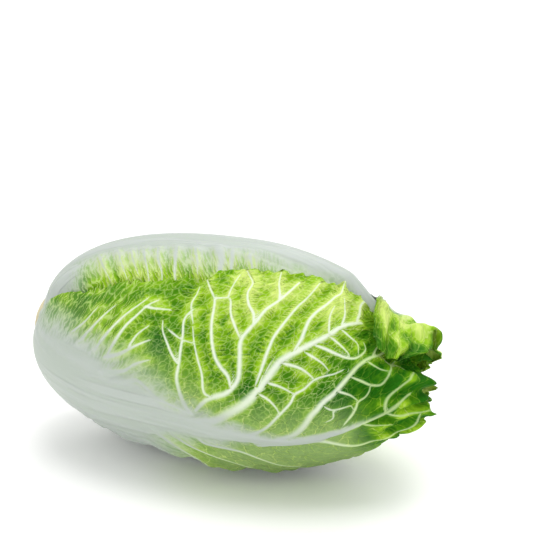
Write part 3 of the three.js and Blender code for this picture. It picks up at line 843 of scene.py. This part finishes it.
def make_object(name, material, points, quads, triangles, fields, sheet=None):
    """A mesh object from whole arrays: millimetre points, quads, triangles, and a number per point for each
    field."""
    mesh = bpy.data.meshes.new(name)
    corners = np.concatenate([quads.ravel(), triangles.ravel()]).astype(np.int32)
    sizes = np.concatenate([np.full(len(quads), 4), np.full(len(triangles), 3)])
    starts = np.concatenate([[0], np.cumsum(sizes)[:-1]]).astype(np.int32)
    mesh.vertices.add(len(points))
    mesh.vertices.foreach_set("co", (points * MM + HEAD_ORIGIN).astype(np.float32).ravel())
    mesh.loops.add(len(corners))
    mesh.loops.foreach_set("vertex_index", corners)
    mesh.polygons.add(len(sizes))
    mesh.polygons.foreach_set("loop_start", starts)
    mesh.update(calc_edges=True)
    mesh.validate()
    mesh.shade_smooth()
    for field, values in fields.items():
        layer = mesh.attributes.new(field, "FLOAT", "POINT")
        layer.data.foreach_set("value", values.astype(np.float32))
    if sheet is not None:
        layer = mesh.uv_layers.new(name="UVMap")
        layer.data.foreach_set("uv", (sheet[corners] * MM).astype(np.float32).ravel())
    piece = bpy.data.objects.new(name, mesh)
    bpy.context.scene.collection.objects.link(piece)
    mesh.materials.append(material)
    return piece


def joined(parts):
    """Several (points, quads, triangles, fields, sheet) as one."""
    starts = np.concatenate([[0], np.cumsum([len(p[0]) for p in parts])[:-1]])
    points = np.concatenate([p[0] for p in parts])
    quads = np.concatenate([p[1] + s for p, s in zip(parts, starts)])
    triangles = np.concatenate([p[2] + s for p, s in zip(parts, starts)])
    fields = {k: np.concatenate([p[3][k] for p in parts]) for k in BLADE_FIELDS}
    return points, quads, triangles, fields, np.concatenate([p[4] for p in parts])


class Blade:
    """A leaf's fine blade, worked out as whole arrays on a grid of rows from base to tip and columns from
    edge to edge.

    s is 0 at the base and 1 at the tip. t is 0 on the midrib, 1 on the growing edge and -1 on the falling
    one.
    """

    def __init__(self, leaf, seed, routes=()):
        self.leaf, self.seed = leaf, seed
        rows, columns = leaf.grid
        self.s, self.t = np.meshgrid(
            np.linspace(0, 1, rows + 1), np.linspace(-1, 1, columns + 1), indexing="ij")
        self.set_places()
        self.set_edges()
        self.set_veins(routes)
        self.set_ridges()
        self.set_folds()

    def noise(self, length, width, number):
        """Smooth noise on the leaf's own sheet, with patches of a length and a width in millimetres."""
        return value_noise(self.along_mm / length, self.across_mm / width, self.seed + number)

    def set_places(self):
        """Rows bow towards the tip between midrib and edge by a sine, the tip is cut back into lobes and
        teeth, and the sides are scalloped. Flaps then reach ahead."""
        leaf, s, t, seed = self.leaf, self.s, self.t, self.seed
        self.tip_wave = 0.5 - 0.5 * np.cos(0.25 * np.pi * (t + 1) * leaf.columns)
        tip_mm = t * leaf.width_mm(leaf.tip - 12 + 0 * t, t)
        self.lobes = value_noise(tip_mm / LOBE_WIDTH + 20, 1.5 * s, seed + 8) - 0.5
        teeth = value_noise(tip_mm / TOOTH_WIDTH + 20, 0 * s, seed + 9) - 0.5
        bow = VEIN_SWEEP * leaf.length / HEAD_LENGTH * np.sin(np.pi * s) * np.abs(t) ** 1.4
        notch = 0.6 * TIP_NOTCH * (1 - self.tip_wave) + LOBE_DEPTH * self.lobes + TOOTH_DEPTH * teeth
        cut_back = s ** 4 * leaf.rounding * t * t + notch * smooth(s, 0.9, 1)
        station = leaf.start + leaf.length * s + bow - cut_back
        scallop = 1.4 * value_noise(station / 9, 9 * np.sign(t), seed + 10)
        scallop = scallop + 1.5 * value_noise(station / 3, 0 * t, seed + 11) - 1.45
        reach = leaf.width(station, t) * (1 + 0.04 * scallop * np.abs(t) ** 12 * smooth(s, 0.08, 0.2))
        self.angle = leaf.middle(station) + t * reach
        self.flap_lift, flap_reach = leaf.flapped(s, self.angle)
        self.station = station + flap_reach

    def set_edges(self):
        """How far a place lies from the base and the midrib in millimetres, and how near to an edge (1 on
        it)."""
        self.along_mm = self.s * self.leaf.length
        half_width = self.leaf.width_mm(self.station, self.t)
        self.across_mm = self.t * half_width
        rim = np.minimum((1 - np.abs(self.t)) * half_width, self.leaf.length * (1 - self.s))
        self.edge = 1 - smooth(rim, 0, EDGE_BAND)

    def set_veins(self, routes):
        """Each vein is a cord that falls off to its sides, white near it and less so when it's thin. Where
        two run into each other, the gap between them is no vein."""
        self.wander = self.noise(WANDER_SIZE, WANDER_SIZE, 0) - 0.5
        nearest, second, reached, half, side = vein_field(self.station, self.angle, routes)
        self.nearest, self.second, self.half = nearest, second, half
        self.offset = side * nearest
        self.reached = reached + 9 * self.wander
        self.cord = 1 - smooth(nearest, 0.4 * half + 0.2, 1.5 * half + 3.2)
        self.white = (1 - smooth(nearest, 0.25 * half, 1.5 * half + 0.5)) * np.clip(0.25 + 0.9 * half, 0, 1)
        vein = np.clip(0.55 + 0.65 * half, 0, 0.97)
        vein = vein * (1 - smooth(nearest, 1.6 * half + 0.8, 1.6 * half + 1.7))
        crowded = 1 - smooth(second - nearest, 0.4, 1.4)
        crowded = crowded * smooth(nearest, 0.8 * half + 0.4, 0.8 * half + 1.2)
        self.vein = vein * (1 - 0.35 * smooth(self.station, 290, 325)) * (1 - crowded)

    def set_ridges(self):
        """Near the base the ridges are long pleats, by noise that is stretched across the leaf. Beside the
        main veins they are ribs square to the vein, by the sine of the distance along it. Elsewhere they are
        even noise."""
        leaf, wander = self.leaf, self.wander
        self.uneven = self.noise(UNEVEN_SIZE, UNEVEN_SIZE, 6)
        self.pleated = 1 - smooth(self.station + 50 * wander, *leaf.pleats)
        apart = smooth(self.nearest, 1.1, 2.4) * smooth(self.second - self.nearest, 2.2, 4.2)
        rungs_here = leaf.rungs(self.station, self.angle)
        self.rungs = (1 - smooth(self.nearest, 9, 15)) * apart * rungs_here
        self.fine = 1 - (0.6 if leaf.folded() else 0.9) * smooth(self.station, 280, 305)
        self.net = (1 - 0.7 * np.maximum(self.rungs, rungs_here)) * (0.7 + 0.3 * self.fine)
        pleats = 0.2 + 0.6 * value_noise(
            (self.along_mm + 12 * wander) / PLEAT_STEP, self.across_mm / PLEAT_LENGTH, self.seed + 1)
        swing = 0.15 + 0.4 * smooth(self.uneven, 0.2, 0.8)
        ribs = 0.5 + swing * np.sin(2 * np.pi * self.reached / RIB_STEP)
        ridge = self.noise(RIDGE_SIZE, RIDGE_SIZE, 2)
        ridge = ridge + self.rungs * (ribs - ridge)
        self.ridge = ridge + self.pleated * (pleats - ridge)

    def set_folds(self):
        """The crinkle all over, by two noises, one half the size of the other, and the tip's bulges and
        folds."""
        crinkle = self.noise(CRINKLE_SIZE, CRINKLE_SIZE, 4) - 0.5
        self.crinkle = crinkle + 0.6 * (self.noise(CRINKLE_FINE_SIZE, CRINKLE_FINE_SIZE, 5) - 0.5)
        self.bulge = self.noise(BULGE_SIZE, BULGE_SIZE, 13) - 0.5
        length, width = CRUMPLE_SIZE
        crumple = value_noise(self.along_mm / length + 5, self.across_mm / width, self.seed + 12) - 0.5
        self.crumple = self.leaf.crumpled * crumple * smooth(self.s, 0.78, 0.88)

    def sag(self, opened):
        """How far the blade lies below its stalk: the puckers' depth by the place's share of bed, hollow and
        crinkle, less the height of the vein there."""
        leaf, s = self.leaf, self.s
        sunk = 0.35 * smooth(self.nearest, 0, 7) + 0.45 * (1 - self.ridge) + 0.25 * self.crinkle
        if not leaf.folded():
            sunk = sunk + 0.5 * (0.5 - self.bulge) * smooth(s, 0.78, 0.9)
        sunk = np.clip(sunk, 0, 1) * (1 - self.cord)
        proud = np.clip(0.6 * self.half, 0.1, 1.3) * self.cord * np.clip(opened, 0, 1)
        sag = self.blade * (leaf.proud() + leaf.relief * sunk * smooth(np.abs(self.t), 0, 0.1) - proud)
        turned = np.degrees(leaf.turned(self.station, self.angle))
        return sag * (1 - 0.9 * smooth(turned, leaf.snug - 8, leaf.snug))

    def frill(self):
        """How far the edges stand out: waves at the sides, waves and lobes at the tip, flaps and folds."""
        leaf, s, t = self.leaf, self.s, self.t
        pucker = 0.5 - 0.5 * np.cos(np.pi * s * leaf.rows)
        side_frill = SIDE_FRILL * (0.2 + 0.8 * pucker) * smooth(np.abs(t), 0.6, 1) * smooth(s, 0.05, 0.3)
        tip_frill = TIP_FRILL * (0.3 + 0.4 * self.tip_wave) + LOBE_FRILL * self.lobes
        frill = np.maximum(side_frill, tip_frill * smooth(s, 0.86, 1))
        frill = frill + EDGE_FRILL * self.crinkle * self.edge * smooth(s, 0.03, 0.1)
        flat = np.where(t < 0, 1 - smooth(self.station, leaf.calm - 6, leaf.calm + 10), 0)
        return (1 - flat) * frill + self.flap_lift + self.crumple

    def faces(self):
        """The outer and the inner face: the blade lies under the roof, lower by its sag and higher by its
        frill, and never below the table."""
        leaf, station, angle = self.leaf, self.station, self.angle
        self.blade = 1 - leaf.stalk_share(station, angle)
        opened = read(leaf.open, station, angle)
        limit = ground_lift(station, angle)
        loose = smooth(limit, 0, 2.5)
        roof = skin(station, angle) + read(leaf.roof, station, angle)
        top = np.minimum(roof + loose * (opened * self.frill() - self.sag(opened)), limit)
        thick = leaf.thickness(station, angle, FINE_BLADE) - (FINE_BLADE - FINE_EDGE) * self.edge * self.blade
        return place(station, angle, top), place(station, angle, top - thick)[::2, ::2]

    def stalk_colour(self):
        """How white the blade is, and how near to the stalk: white fades over a soft edge, reaches out along
        veins, and covers the base."""
        leaf, s, station, angle = self.leaf, self.s, self.station, self.angle
        if not leaf.stalk:
            return 0 * s, 0 * s
        stretch = along(leaf.white, leaf.share(station))
        inside = stretch - np.abs(leaf.turned(station, angle)) * outline_point(station)[1]
        soft = np.minimum(0.7 * stretch, 11)
        fingers = (7 * self.white + 4 * self.wander) / 8
        low, high = leaf.fade
        whiteness = np.clip((inside / soft + fingers - low) / (high - low), 0, 1)
        whiteness = whiteness * (1 - smooth(s, 0.8, 0.92))
        side = np.where(self.t > 0, 0, len(leaf.base) - 2)
        begin, end = np.array(leaf.base)[np.stack([side, side + 1])]
        base = (station + 22 * self.wander - 10 * self.white - begin) / (end - begin)
        base = np.maximum(1 - np.clip(base, 0, 1), smooth(patched(station, angle, leaf.shoulder), 0.15, 0.6))
        return np.maximum(whiteness, base), smooth(inside, -26, 0)

    def fields(self):
        """The attributes that the skin's material reads, over both faces. The inner face is painted paler:
        painted light where it lies in shade.
        """
        leaf, s, station, angle, edge = self.leaf, self.s, self.station, self.angle, self.edge
        whiteness, near_stalk = self.stalk_colour()
        tone = along(leaf.tones, s) + patched(station, angle, leaf.patches)
        tone = tone + 0.16 * (self.uneven - 0.5) - 0.14 * near_stalk
        tone = tone + 0.34 * (smooth(self.nearest, 0.8 * self.half, 8) - 0.65)
        tone = tone + leaf.dark_edge(station) * edge * smooth(s, 0.02, 0.1) + 0.25 * self.crinkle * edge
        # Painted light and shade: paler where the tip's bulges and folds stand out, deeper where they sink.
        tone = tone - 0.09 * self.crumple - 0.85 * self.bulge * smooth(s, 0.74, 0.88)
        bloom = np.clip(leaf.bloom(station, angle), 0, 1)
        root = 0.9 * near_stalk * (1 - smooth(s, 0.7, 0.85))
        values = (
            np.clip(tone, 0, 1), np.clip(whiteness, 0, 1), self.vein, self.ridge, self.offset * MM,
            self.half * MM, root, bloom, self.rungs, self.pleated, self.net, self.fine * (1 - 0.6 * bloom),
            self.reached * MM)
        fields = {name: both_faces(value) for name, value in zip(BLADE_FIELDS, values)}
        # Painted light: the inner face is paler, to lighten it where it lies in shade.
        fields["tone"][tone.size:] *= 0.7
        return fields

    def mesh(self):
        """Points, quads, triangles, fields and sheet of the closed blade."""
        sheet = np.stack([both_faces(self.along_mm), both_faces(self.across_mm)], -1)
        return *closed_blade(*self.faces()), self.fields(), sheet


def both_faces(values):
    """The values of the outer face's places, then those of the inner face, on every second row and column."""
    return np.concatenate([values.ravel(), values[::2, ::2].ravel()])


# Materials

def add_node(tree, kind, values=(), **settings):
    """Adds a shader node with its settings. Its inputs, in order or by name, get a value or a link each. A
    node among the values stands for its first output."""
    node = tree.nodes.new("ShaderNode" + kind)
    for name, value in settings.items():
        setattr(node, name, value)
    in_order = [socket for socket in node.inputs if socket.enabled]
    for key, value in values.items() if isinstance(values, dict) else enumerate(values):
        socket = node.inputs[key] if isinstance(key, str) else in_order[key]
        if isinstance(value, bpy.types.Node):
            value = next(output for output in value.outputs if output.enabled)
        if isinstance(value, bpy.types.NodeSocket):
            tree.links.new(value, socket)
        else:
            socket.default_value = value
    return node


def new_material(name, colour):
    """An empty material with its plain colour, and the function that adds nodes to it."""
    material = bpy.data.materials.new(name)
    material.use_nodes = True
    material.diffuse_color = colour
    material.node_tree.nodes.clear()
    return material, partial(add_node, material.node_tree)


def net_border(add, vector, cell, randomness=1.0):
    """Distance to the nearest border of cells of a length and a width in millimetres, as a share of a
    cell."""
    scaled = add("VectorMath", (vector, (1 / (cell[0] * MM), 1 / (cell[1] * MM), 1)), operation="MULTIPLY")
    return add("TexVoronoi", {"Vector": scaled, "Scale": 1.0, "Randomness": randomness},
               feature="DISTANCE_TO_EDGE", voronoi_dimensions="2D")


def green_ramp(add, look, tone):
    """The blade's green by tone, from pale to deep."""
    ramp = add("ValToRGB", (tone,))
    stops = ramp.color_ramp.elements
    stops[0].color = look.pale_green
    stops[1].color = look.tip_green
    stops.new(0.34).color = look.bright_green
    stops.new(0.66).color = look.deep_green
    return ramp


def leaf_material(look):
    """Living leaf: a waxy green blade with a fine net of veins that stand out, over a smooth wet white stalk.
    Painted light and shade make the ridges paler, the hollows and the stalk's grooves deeper, and the stalk's
    white a shaded copy of the veins' white."""
    material, add = new_material("waxy_leaf", look.bright_green)
    even_s = dict(interpolation_type="SMOOTHSTEP")
    field = {name: add("Attribute", attribute_name=name).outputs["Fac"] for name in BLADE_FIELDS}
    coordinates = add("TexCoord").outputs
    sheet, spot = coordinates["UV"], coordinates["Object"]

    # Fine veins wander, by a millimetre or two every 5 mm.
    bend = add("TexNoise", {"Vector": sheet, "Scale": 1 / (BEND_SIZE * MM), "Detail": 2.5, "Roughness": 0.6},
               noise_dimensions="2D")
    reach = BEND_REACH * MM
    bent = add("VectorMath", (bend.outputs["Color"], (reach, reach, 0), sheet), operation="MULTIPLY_ADD")

    # Between the broad ribs lie fine ones, half as far apart.
    sway = add("Math", (bend, 7.0), operation="MULTIPLY")
    turn = add("Math", (field["reached"], 4 * np.pi / (RIB_STEP * MM), sway), operation="MULTIPLY_ADD")
    ribs = add("MapRange", (add("Math", (turn,), operation="SINE"), -0.8, 0.9, 0.08, 0.95), **even_s)
    # Elsewhere the finest veins are a net.
    fine_gap = net_border(add, bent, FINE_CELL)
    fine_net = add("MapRange", (fine_gap, 0.02, 0.4, 0.72, 0.36), **even_s)
    # Near the base they are long and narrow.
    streak_gap = net_border(add, bent, STREAK_CELL, 0.95)
    streaks = add("MapRange", (streak_gap, 0.02, 0.42, 0.9, 0.22), **even_s)
    uneven = add("MapRange", (bend, 0.3, 0.65, 1.0, 0.35), **even_s)
    ribbed = add("Math", (field["rungs"], uneven), operation="MULTIPLY")
    fine = add("Mix", (field["pleats"], add("Mix", (ribbed, fine_net, ribs)), streaks))
    ridge_and_fine = add("Math", (field["ridge"], fine), operation="ADD")
    raised = add("Math", (ridge_and_fine, 0.5, -0.5), operation="MULTIPLY_ADD")

    # A net of pale veins crosses the open blade, with the finest between them, and streaks near the base.
    net_gap = net_border(add, bent, NET_CELL)
    net_line = add("MapRange", (net_gap, 0.012, 0.05, 0.65, 0.0), **even_s)
    net_line = add("Math", (net_line, field["net"]), operation="MULTIPLY")
    fine_line = add("MapRange", (fine_gap, 0.01, 0.14, 0.32, 0.0), **even_s)
    fine_line = add("Math", (fine_line, field["fine"]), operation="MULTIPLY")
    net_line = add("Math", (net_line, fine_line), operation="MAXIMUM")
    streak_line = add("MapRange", (streak_gap, 0.02, 0.14, 0.5, 0.0), **even_s)
    net_line = add("Mix", (field["pleats"], net_line, streak_line))
    # The raised veins, from how far to the side of the nearest one a place lies.
    half = field["half"]
    beside = add("Math", (field["offset"],), operation="ABSOLUTE")
    inner = add("Math", (half, 0.1), operation="MULTIPLY")
    outer = add("Math", (half, 1.6, 0.4 * MM), operation="MULTIPLY_ADD")
    vein = add("MapRange", (beside, inner, outer, 1.0, 0.0), **even_s)
    vein = add("Math", (vein, field["vein"]), operation="MULTIPLY")

    # Painted light and shade: ridges are paler than hollows, with cloudy changes of green.
    cloud = add("TexNoise", {"Vector": spot, "Scale": 1 / (CLOUD_SIZE * MM), "Detail": 3.0, "Roughness": 0.6})
    cloud = add("Math", (cloud, 0.5), operation="SUBTRACT")
    tone = add("Math", (cloud, 0.3, field["tone"]), operation="MULTIPLY_ADD")
    tone = add("Math", (raised, -0.62, tone), operation="MULTIPLY_ADD")
    lit_tone = add("Math", (tone, 0.4), operation="SUBTRACT")
    blade = add("Mix", (field["bloom"], green_ramp(add, look, tone), look.bloom_green), data_type="RGBA")
    paling = add("Math", (field["fine"], 0.65), operation="MULTIPLY")
    net_colour = add("Mix", (paling, green_ramp(add, look, lit_tone), look.net_green), data_type="RGBA")
    blade = add("Mix", (net_line, blade, net_colour), data_type="RGBA")
    # Veins are greener where the finest net fades, and near the stalk take the stalk's white with its painted
    # shade.
    vein_colour = add("Mix", (field["fine"], look.net_green, look.vein_white), data_type="RGBA")
    vein_colour = add("Mix", (field["root"], vein_colour, look.shaded_stalk_white), data_type="RGBA")
    blade = add("Mix", (vein, blade, vein_colour), data_type="RGBA")

    # The stalk's white reaches out along the ridges first. Soft grooves run along it, painted darker in them
    # as painted shade.
    stalk = field["stalk"]
    fading = add("Math", (stalk, add("Math", (1.0, stalk), operation="SUBTRACT")), operation="MULTIPLY")
    ridged = add("Math", (raised, 3.6), operation="MULTIPLY")
    white = add("Math", (ridged, fading, stalk), operation="MULTIPLY_ADD", use_clamp=True)
    length, width = GROOVE_SIZE
    long = add("VectorMath", (sheet, (1 / (length * MM), 1 / (width * MM), 0)), operation="MULTIPLY")
    grooves = add("TexNoise", {"Vector": long, "Scale": 1.0, "Detail": 1.0}, noise_dimensions="2D")
    groove = add("MapRange", (grooves, 0.32, 0.6, 0.3, 0.0), **even_s)
    groove_shade_colour = np.array(look.shaded_stalk_white) * (0.8, 0.87, 0.74, 1)
    stalk_colour = add("Mix", (groove, look.shaded_stalk_white, groove_shade_colour), data_type="RGBA")

    # The ridges stand out, but not on the stalk and the main veins. The stalk has its grooves.
    plain = add("Math", (white, vein), operation="MAXIMUM")
    height = add("Math", (net_line, 0.7, fine), operation="MULTIPLY_ADD")
    grooved = add("Math", (groove, white), operation="MULTIPLY")
    grooved = add("Math", (grooved, -2.6, 0.55), operation="MULTIPLY_ADD")
    relief = add("Bump", {
        "Height": add("Mix", (plain, height, grooved)), "Strength": 1.0, "Distance": RIDGE_HEIGHT * MM})
    grain = add("TexNoise", {"Vector": spot, "Scale": 1 / (GRAIN_SIZE * MM), "Detail": 2.0})
    skin_relief = add("Bump", {
        "Height": grain, "Strength": 0.12, "Distance": GRAIN_HEIGHT * MM, "Normal": relief})
    # The stalk is wetter and smoother than the blade.
    shader = add("BsdfPrincipled", {
        "Base Color": add("Mix", (white, blade, stalk_colour), data_type="RGBA"),
        "Roughness": add("Mix", (white, 0.55, 0.42)), "Specular IOR Level": add("Mix", (white, 0.06, 0.4)),
        "IOR": 1.38, "Normal": skin_relief, "Subsurface Weight": 0.05, "Subsurface Radius": (0.6, 1.0, 0.25),
        "Subsurface Scale": 2 * MM})
    add("OutputMaterial", (shader,))
    return material


def stem_material(look):
    """A freshly cut stem: damp cream fibres in rings, with a browned edge."""
    material, add = new_material("cut_stem", look.stem_cream)
    spot = add("TexCoord").outputs["Object"]
    fibres = add("TexNoise", {"Vector": spot, "Scale": 1 / (1.8 * MM), "Detail": 4.0})
    patches = add("TexNoise", {"Vector": spot, "Scale": 1 / (11 * MM), "Detail": 2.0})
    dried = add("MapRange", (patches, 0.45, 0.75, 0.0, 0.45))
    brown = np.array(look.stem_cream) * (0.62, 0.5, 0.3, 1)
    colour = add("Mix", (dried, look.stem_cream, brown), data_type="RGBA")
    edge = add("Attribute", attribute_name="edge").outputs["Fac"]
    shader = add("BsdfPrincipled", {
        "Base Color": add("Mix", (edge, colour, brown), data_type="RGBA"), "Roughness": 0.55, "IOR": 1.4,
        "Normal": add("Bump", {"Height": fibres, "Strength": 0.5, "Distance": 0.6 * MM}),
        "Subsurface Weight": 0.15, "Subsurface Radius": (1.0, 0.8, 0.4), "Subsurface Scale": 3 * MM})
    add("OutputMaterial", (shader,))
    return material


def floor_material(look):
    """A matt white table."""
    material, add = new_material("matt_table", look.floor_white)
    add("OutputMaterial", (add("BsdfPrincipled", {"Base Color": look.floor_white, "Roughness": 0.7}),))
    return material


# Operators

def dress(piece, node):
    """Puts a finished piece in its solid's place."""
    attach(piece, "root")
    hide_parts(node)


class Head:
    """What the leaves, heart and stem share while the head is built."""

    roof = None
    leaf_finish = None
    shoulder = None


class CABBAGE_OT_leaves(Operator):
    """Lay the eight outer leaves, outermost first"""

    bl_idname = "cabbage.leaves"
    bl_label = "Outer Leaves"

    def execute(self, context):
        Head.roof = Roof()
        Head.leaf_finish = leaf_material(context.scene.cabbage)
        for number, settings in enumerate(LEAVES):
            kind = FrontLeaf if settings["name"] == "leaf_2" else Leaf
            leaf = kind(Head.roof, settings)
            routes = photo_routes(leaf.veins) if leaf.veins else grown_routes(leaf, SEED + 40 + number)
            blade = Blade(leaf, SEED + 10 * number, routes)
            piece = make_object(leaf.name + "_blade", Head.leaf_finish, *blade.mesh())
            dress(piece, leaf.name)
            leaf.lay(Head.roof)
        Head.shoulder = draped_under(Head.roof.drop)
        return {"FINISHED"}


def heart_depth():
    """How far the stem reaches into the head, from the deepest of the first stations of the laid leaves."""
    return 6 - Head.roof.drop[:8].min()


def heart_core():
    """One closed skin under the last leaves: rings of stations from a disc behind the stem to the tip's
    middle.

    Its lift is the roof that the outer leaves leave, and past the shoulder the roof under the folded tips.
    """
    rows, columns = HEART_GRID
    roof = draped_under(Head.roof.drop)
    station, angle = np.meshgrid(
        np.linspace(STEM_EDGE, OUTLINE_LENGTH - 4, rows + 1),
        np.linspace(0, 2 * np.pi, columns, endpoint=False), indexing="ij")
    past = HEART_TIP_FROM + HEART_SHOULDER
    opened = smooth(station, past, past + 8)
    tucked = read(roof, station, angle) + HEART_BITE
    lift = skin(station, angle) + read(Head.shoulder, station, angle) * (1 - opened) + tucked * opened
    ridge = value_noise(station / 6, angle * 90 / (2 * np.pi) / 6 + 8, SEED + 300)
    lift = lift - HEART_RIDGE * (1 - ridge)
    seated = 1 - smooth(station, STEM_EDGE, STEM_EDGE + 30)
    ring = place(station, angle, lift * (1 - seated) - heart_depth() * seated)
    points, quads, triangles = closed_rings(ring, ring[0].mean(0), ring[-1].mean(0))
    fields = {name: np.zeros(len(points)) for name in BLADE_FIELDS}
    fields["tone"] += 0.3
    fields["net"] += 0.3
    fields["fine"] += 1
    fields["offset"] += 1
    fields["ridge"] = np.append(ridge.ravel(), [0.5, 0.5])
    sheet = np.concatenate([np.stack([station, angle * 60], -1).reshape(-1, 2), [[0, 0]], [[0, 0]]])
    return points, quads, triangles, fields, sheet


class CABBAGE_OT_heart(Operator):
    """Build the dense heart with the folded tips of its leaves"""

    bl_idname = "cabbage.heart"
    bl_label = "Heart"

    def execute(self, context):
        parts = []
        for k in range(HEART_TIPS):
            turn = HEART_TIP_STEP * k
            settings = dict(
                tip=HEART_TIP_TO - 2 * k, rows=8, columns=12, midrib=(turn, turn),
                growing=(HEART_TIP_WIDTH, HEART_TIP_WIDTH), stalk=(), tones=(0.1, 0.15, 0.25),
                grid=HEART_TIP_GRID)
            leaf = Leaf(Head.roof, settings, start=HEART_TIP_FROM)
            parts.append(Blade(leaf, SEED + 200 + 10 * k).mesh())
            leaf.lay(Head.roof)
        parts.append(heart_core())
        dress(make_object("heart_leaves", Head.leaf_finish, *joined(parts)), "heart")
        return {"FINISHED"}


def stem_rings():
    """The stem's profile carried round its axis, as rings of points, and how browned each is.

    The profile runs from the axis over the rough cut face, round its edge and down the side to the axis.
    """
    depth = heart_depth() - STEM_GAP
    x, radius = outline_point(STEM_EDGE)
    nx, nr = outline_normal(STEM_EDGE)
    face_x, face_radius = x + nx * STEM_PROUD, radius + nr * STEM_PROUD - STEM_GAP
    end_x, end_radius = x - nx * depth, radius - nr * depth - STEM_GAP
    face = np.linspace(0, 1, STEM_FACE_RINGS)
    down = np.linspace(0, 1, STEM_SIDE_RINGS)
    back, inwards = STEM_BEVEL
    ring_x = np.concatenate([face_x + 0 * face, face_x + back + down * (end_x - face_x - back), [end_x]])
    side_radius = face_radius + down * (end_radius - face_radius)
    ring_radius = np.concatenate([face * (face_radius - inwards), side_radius, [0]])
    turns = np.linspace(0, 2 * np.pi, STEM_COLUMNS, endpoint=False)
    radius, turn = np.meshgrid(ring_radius, turns, indexing="ij")
    y, z = -radius * np.cos(turn), radius * np.sin(turn)
    x = np.broadcast_to(ring_x[:, None], radius.shape).copy()
    rough = value_noise(32 - y / STEM_GRAIN, z / STEM_GRAIN + 32, SEED + 400) - 0.5
    x[1:STEM_FACE_RINGS] += STEM_ROUGHNESS * rough[1:STEM_FACE_RINGS]
    bundles = value_noise(BUNDLES * turn / (2 * np.pi), radius / 3, SEED + 401)
    bundles = bundles * np.exp(-((radius - BUNDLE_RING) / BUNDLE_WIDTH) ** 2)
    browned = 0.5 * smooth(radius, STEM_BROWN_FROM, STEM_BROWN_TO) + 0.7 * bundles
    return np.stack([x, y, z + AXIS_HEIGHT], -1), browned


class CABBAGE_OT_stem(Operator):
    """Build the cut stem"""

    bl_idname = "cabbage.stem"
    bl_label = "Stem"

    def execute(self, context):
        rings, browned = stem_rings()
        mesh = closed_rings(rings[1:-1], rings[0, 0], rings[-1, 0])
        fields = dict(edge=np.append(browned[1:-1].ravel(), [0, 0]))
        piece = make_object("stem_cut", stem_material(context.scene.cabbage), *mesh, fields)
        dress(piece, "stem")
        return {"FINISHED"}


class CABBAGE_OT_stage(Operator):
    """Set the table, the lights and the camera"""

    bl_idname = "cabbage.stage"
    bl_label = "Stage"

    def execute(self, context):
        look = context.scene.cabbage
        floor = floor_object(floor_material(look))
        add_light("key", look.key_power, 1.0, (0.1, 0.1, 1.5))
        add_light("fill", look.fill_power, 1.4, (-0.2, -1.5, 0.8))
        add_light("back", look.back_power, 3.0, (0, 3.0, 2.2), (0, 2.0, 0))
        world = bpy.data.worlds.new("studio")
        world.use_nodes = True
        surroundings = world.node_tree.nodes["Background"].inputs
        surroundings["Color"].default_value = (1, 1, 1, 1)
        surroundings["Strength"].default_value = SURROUNDING_LIGHT
        context.scene.world = world
        context.scene.view_settings.view_transform = "Standard"
        add_camera(context.scene)
        return {"FINISHED"}


def floor_object(material):
    """A square table top at the height that the head rests on."""
    corners = [(x * TABLE_REACH, y * TABLE_REACH, 0) for x, y in ((-1, -1), (1, -1), (1, 1), (-1, 1))]
    mesh = bpy.data.meshes.new("table")
    mesh.from_pydata(corners, [], [(0, 1, 2, 3)])
    mesh.materials.append(material)
    floor = bpy.data.objects.new("table", mesh)
    bpy.context.scene.collection.objects.link(floor)
    return floor


def add_light(name, power, size, spot, target=(0, 0, 0.08)):
    """A square soft light, in watts and metres, that faces the head's middle, unless another target is
    given."""
    lamp = bpy.data.lights.new(name, "AREA")
    lamp.shape = "SQUARE"
    lamp.size = size
    lamp.energy = power
    light = bpy.data.objects.new(name, lamp)
    light.location = spot
    light.rotation_euler = (Vector(spot) - Vector(target)).to_track_quat("Z", "Y").to_euler()
    bpy.context.scene.collection.objects.link(light)


def add_camera(scene):
    """The camera where the photograph was taken from."""
    stand, _, _, forward = camera_axes()
    origin = HEAD_ORIGIN + np.array([CAMERA_FROM_BASE, 0, 0]) * MM
    data = bpy.data.cameras.new("camera")
    data.lens = CAMERA_LENS
    data.sensor_width = SENSOR_WIDTH
    camera = bpy.data.objects.new("camera", data)
    camera.location = Vector(origin + stand * MM)
    camera.rotation_euler = Vector(-forward).to_track_quat("Z", "Y").to_euler()
    scene.collection.objects.link(camera)
    scene.camera = camera


class CABBAGE_PT_sidebar(Panel):
    """The head's pieces and their look"""

    bl_idname = "CABBAGE_PT_sidebar"
    bl_label = "Chinese Cabbage"
    bl_space_type = "VIEW_3D"
    bl_region_type = "UI"
    bl_category = "Cabbage"

    def draw(self, context):
        look = context.scene.cabbage
        for name in CabbageLook.__annotations__:
            self.layout.prop(look, name)
        for operator in OPERATORS:
            self.layout.operator(operator.bl_idname)


OPERATORS = (CABBAGE_OT_leaves, CABBAGE_OT_heart, CABBAGE_OT_stem, CABBAGE_OT_stage)
CLASSES = (CabbageLook, *OPERATORS, CABBAGE_PT_sidebar)


def register():
    """Makes the operators, the panel and the look known."""
    for cls in CLASSES:
        bpy.utils.register_class(cls)
    bpy.types.Scene.cabbage = PointerProperty(type=CabbageLook)


def unregister():
    """Takes them away again."""
    del bpy.types.Scene.cabbage
    for cls in reversed(CLASSES):
        bpy.utils.unregister_class(cls)


def main():
    """Builds the head and its stage."""
    register()
    bpy.ops.cabbage.leaves()
    bpy.ops.cabbage.heart()
    bpy.ops.cabbage.stem()
    bpy.ops.cabbage.stage()


if __name__ == "__main__":
    main()
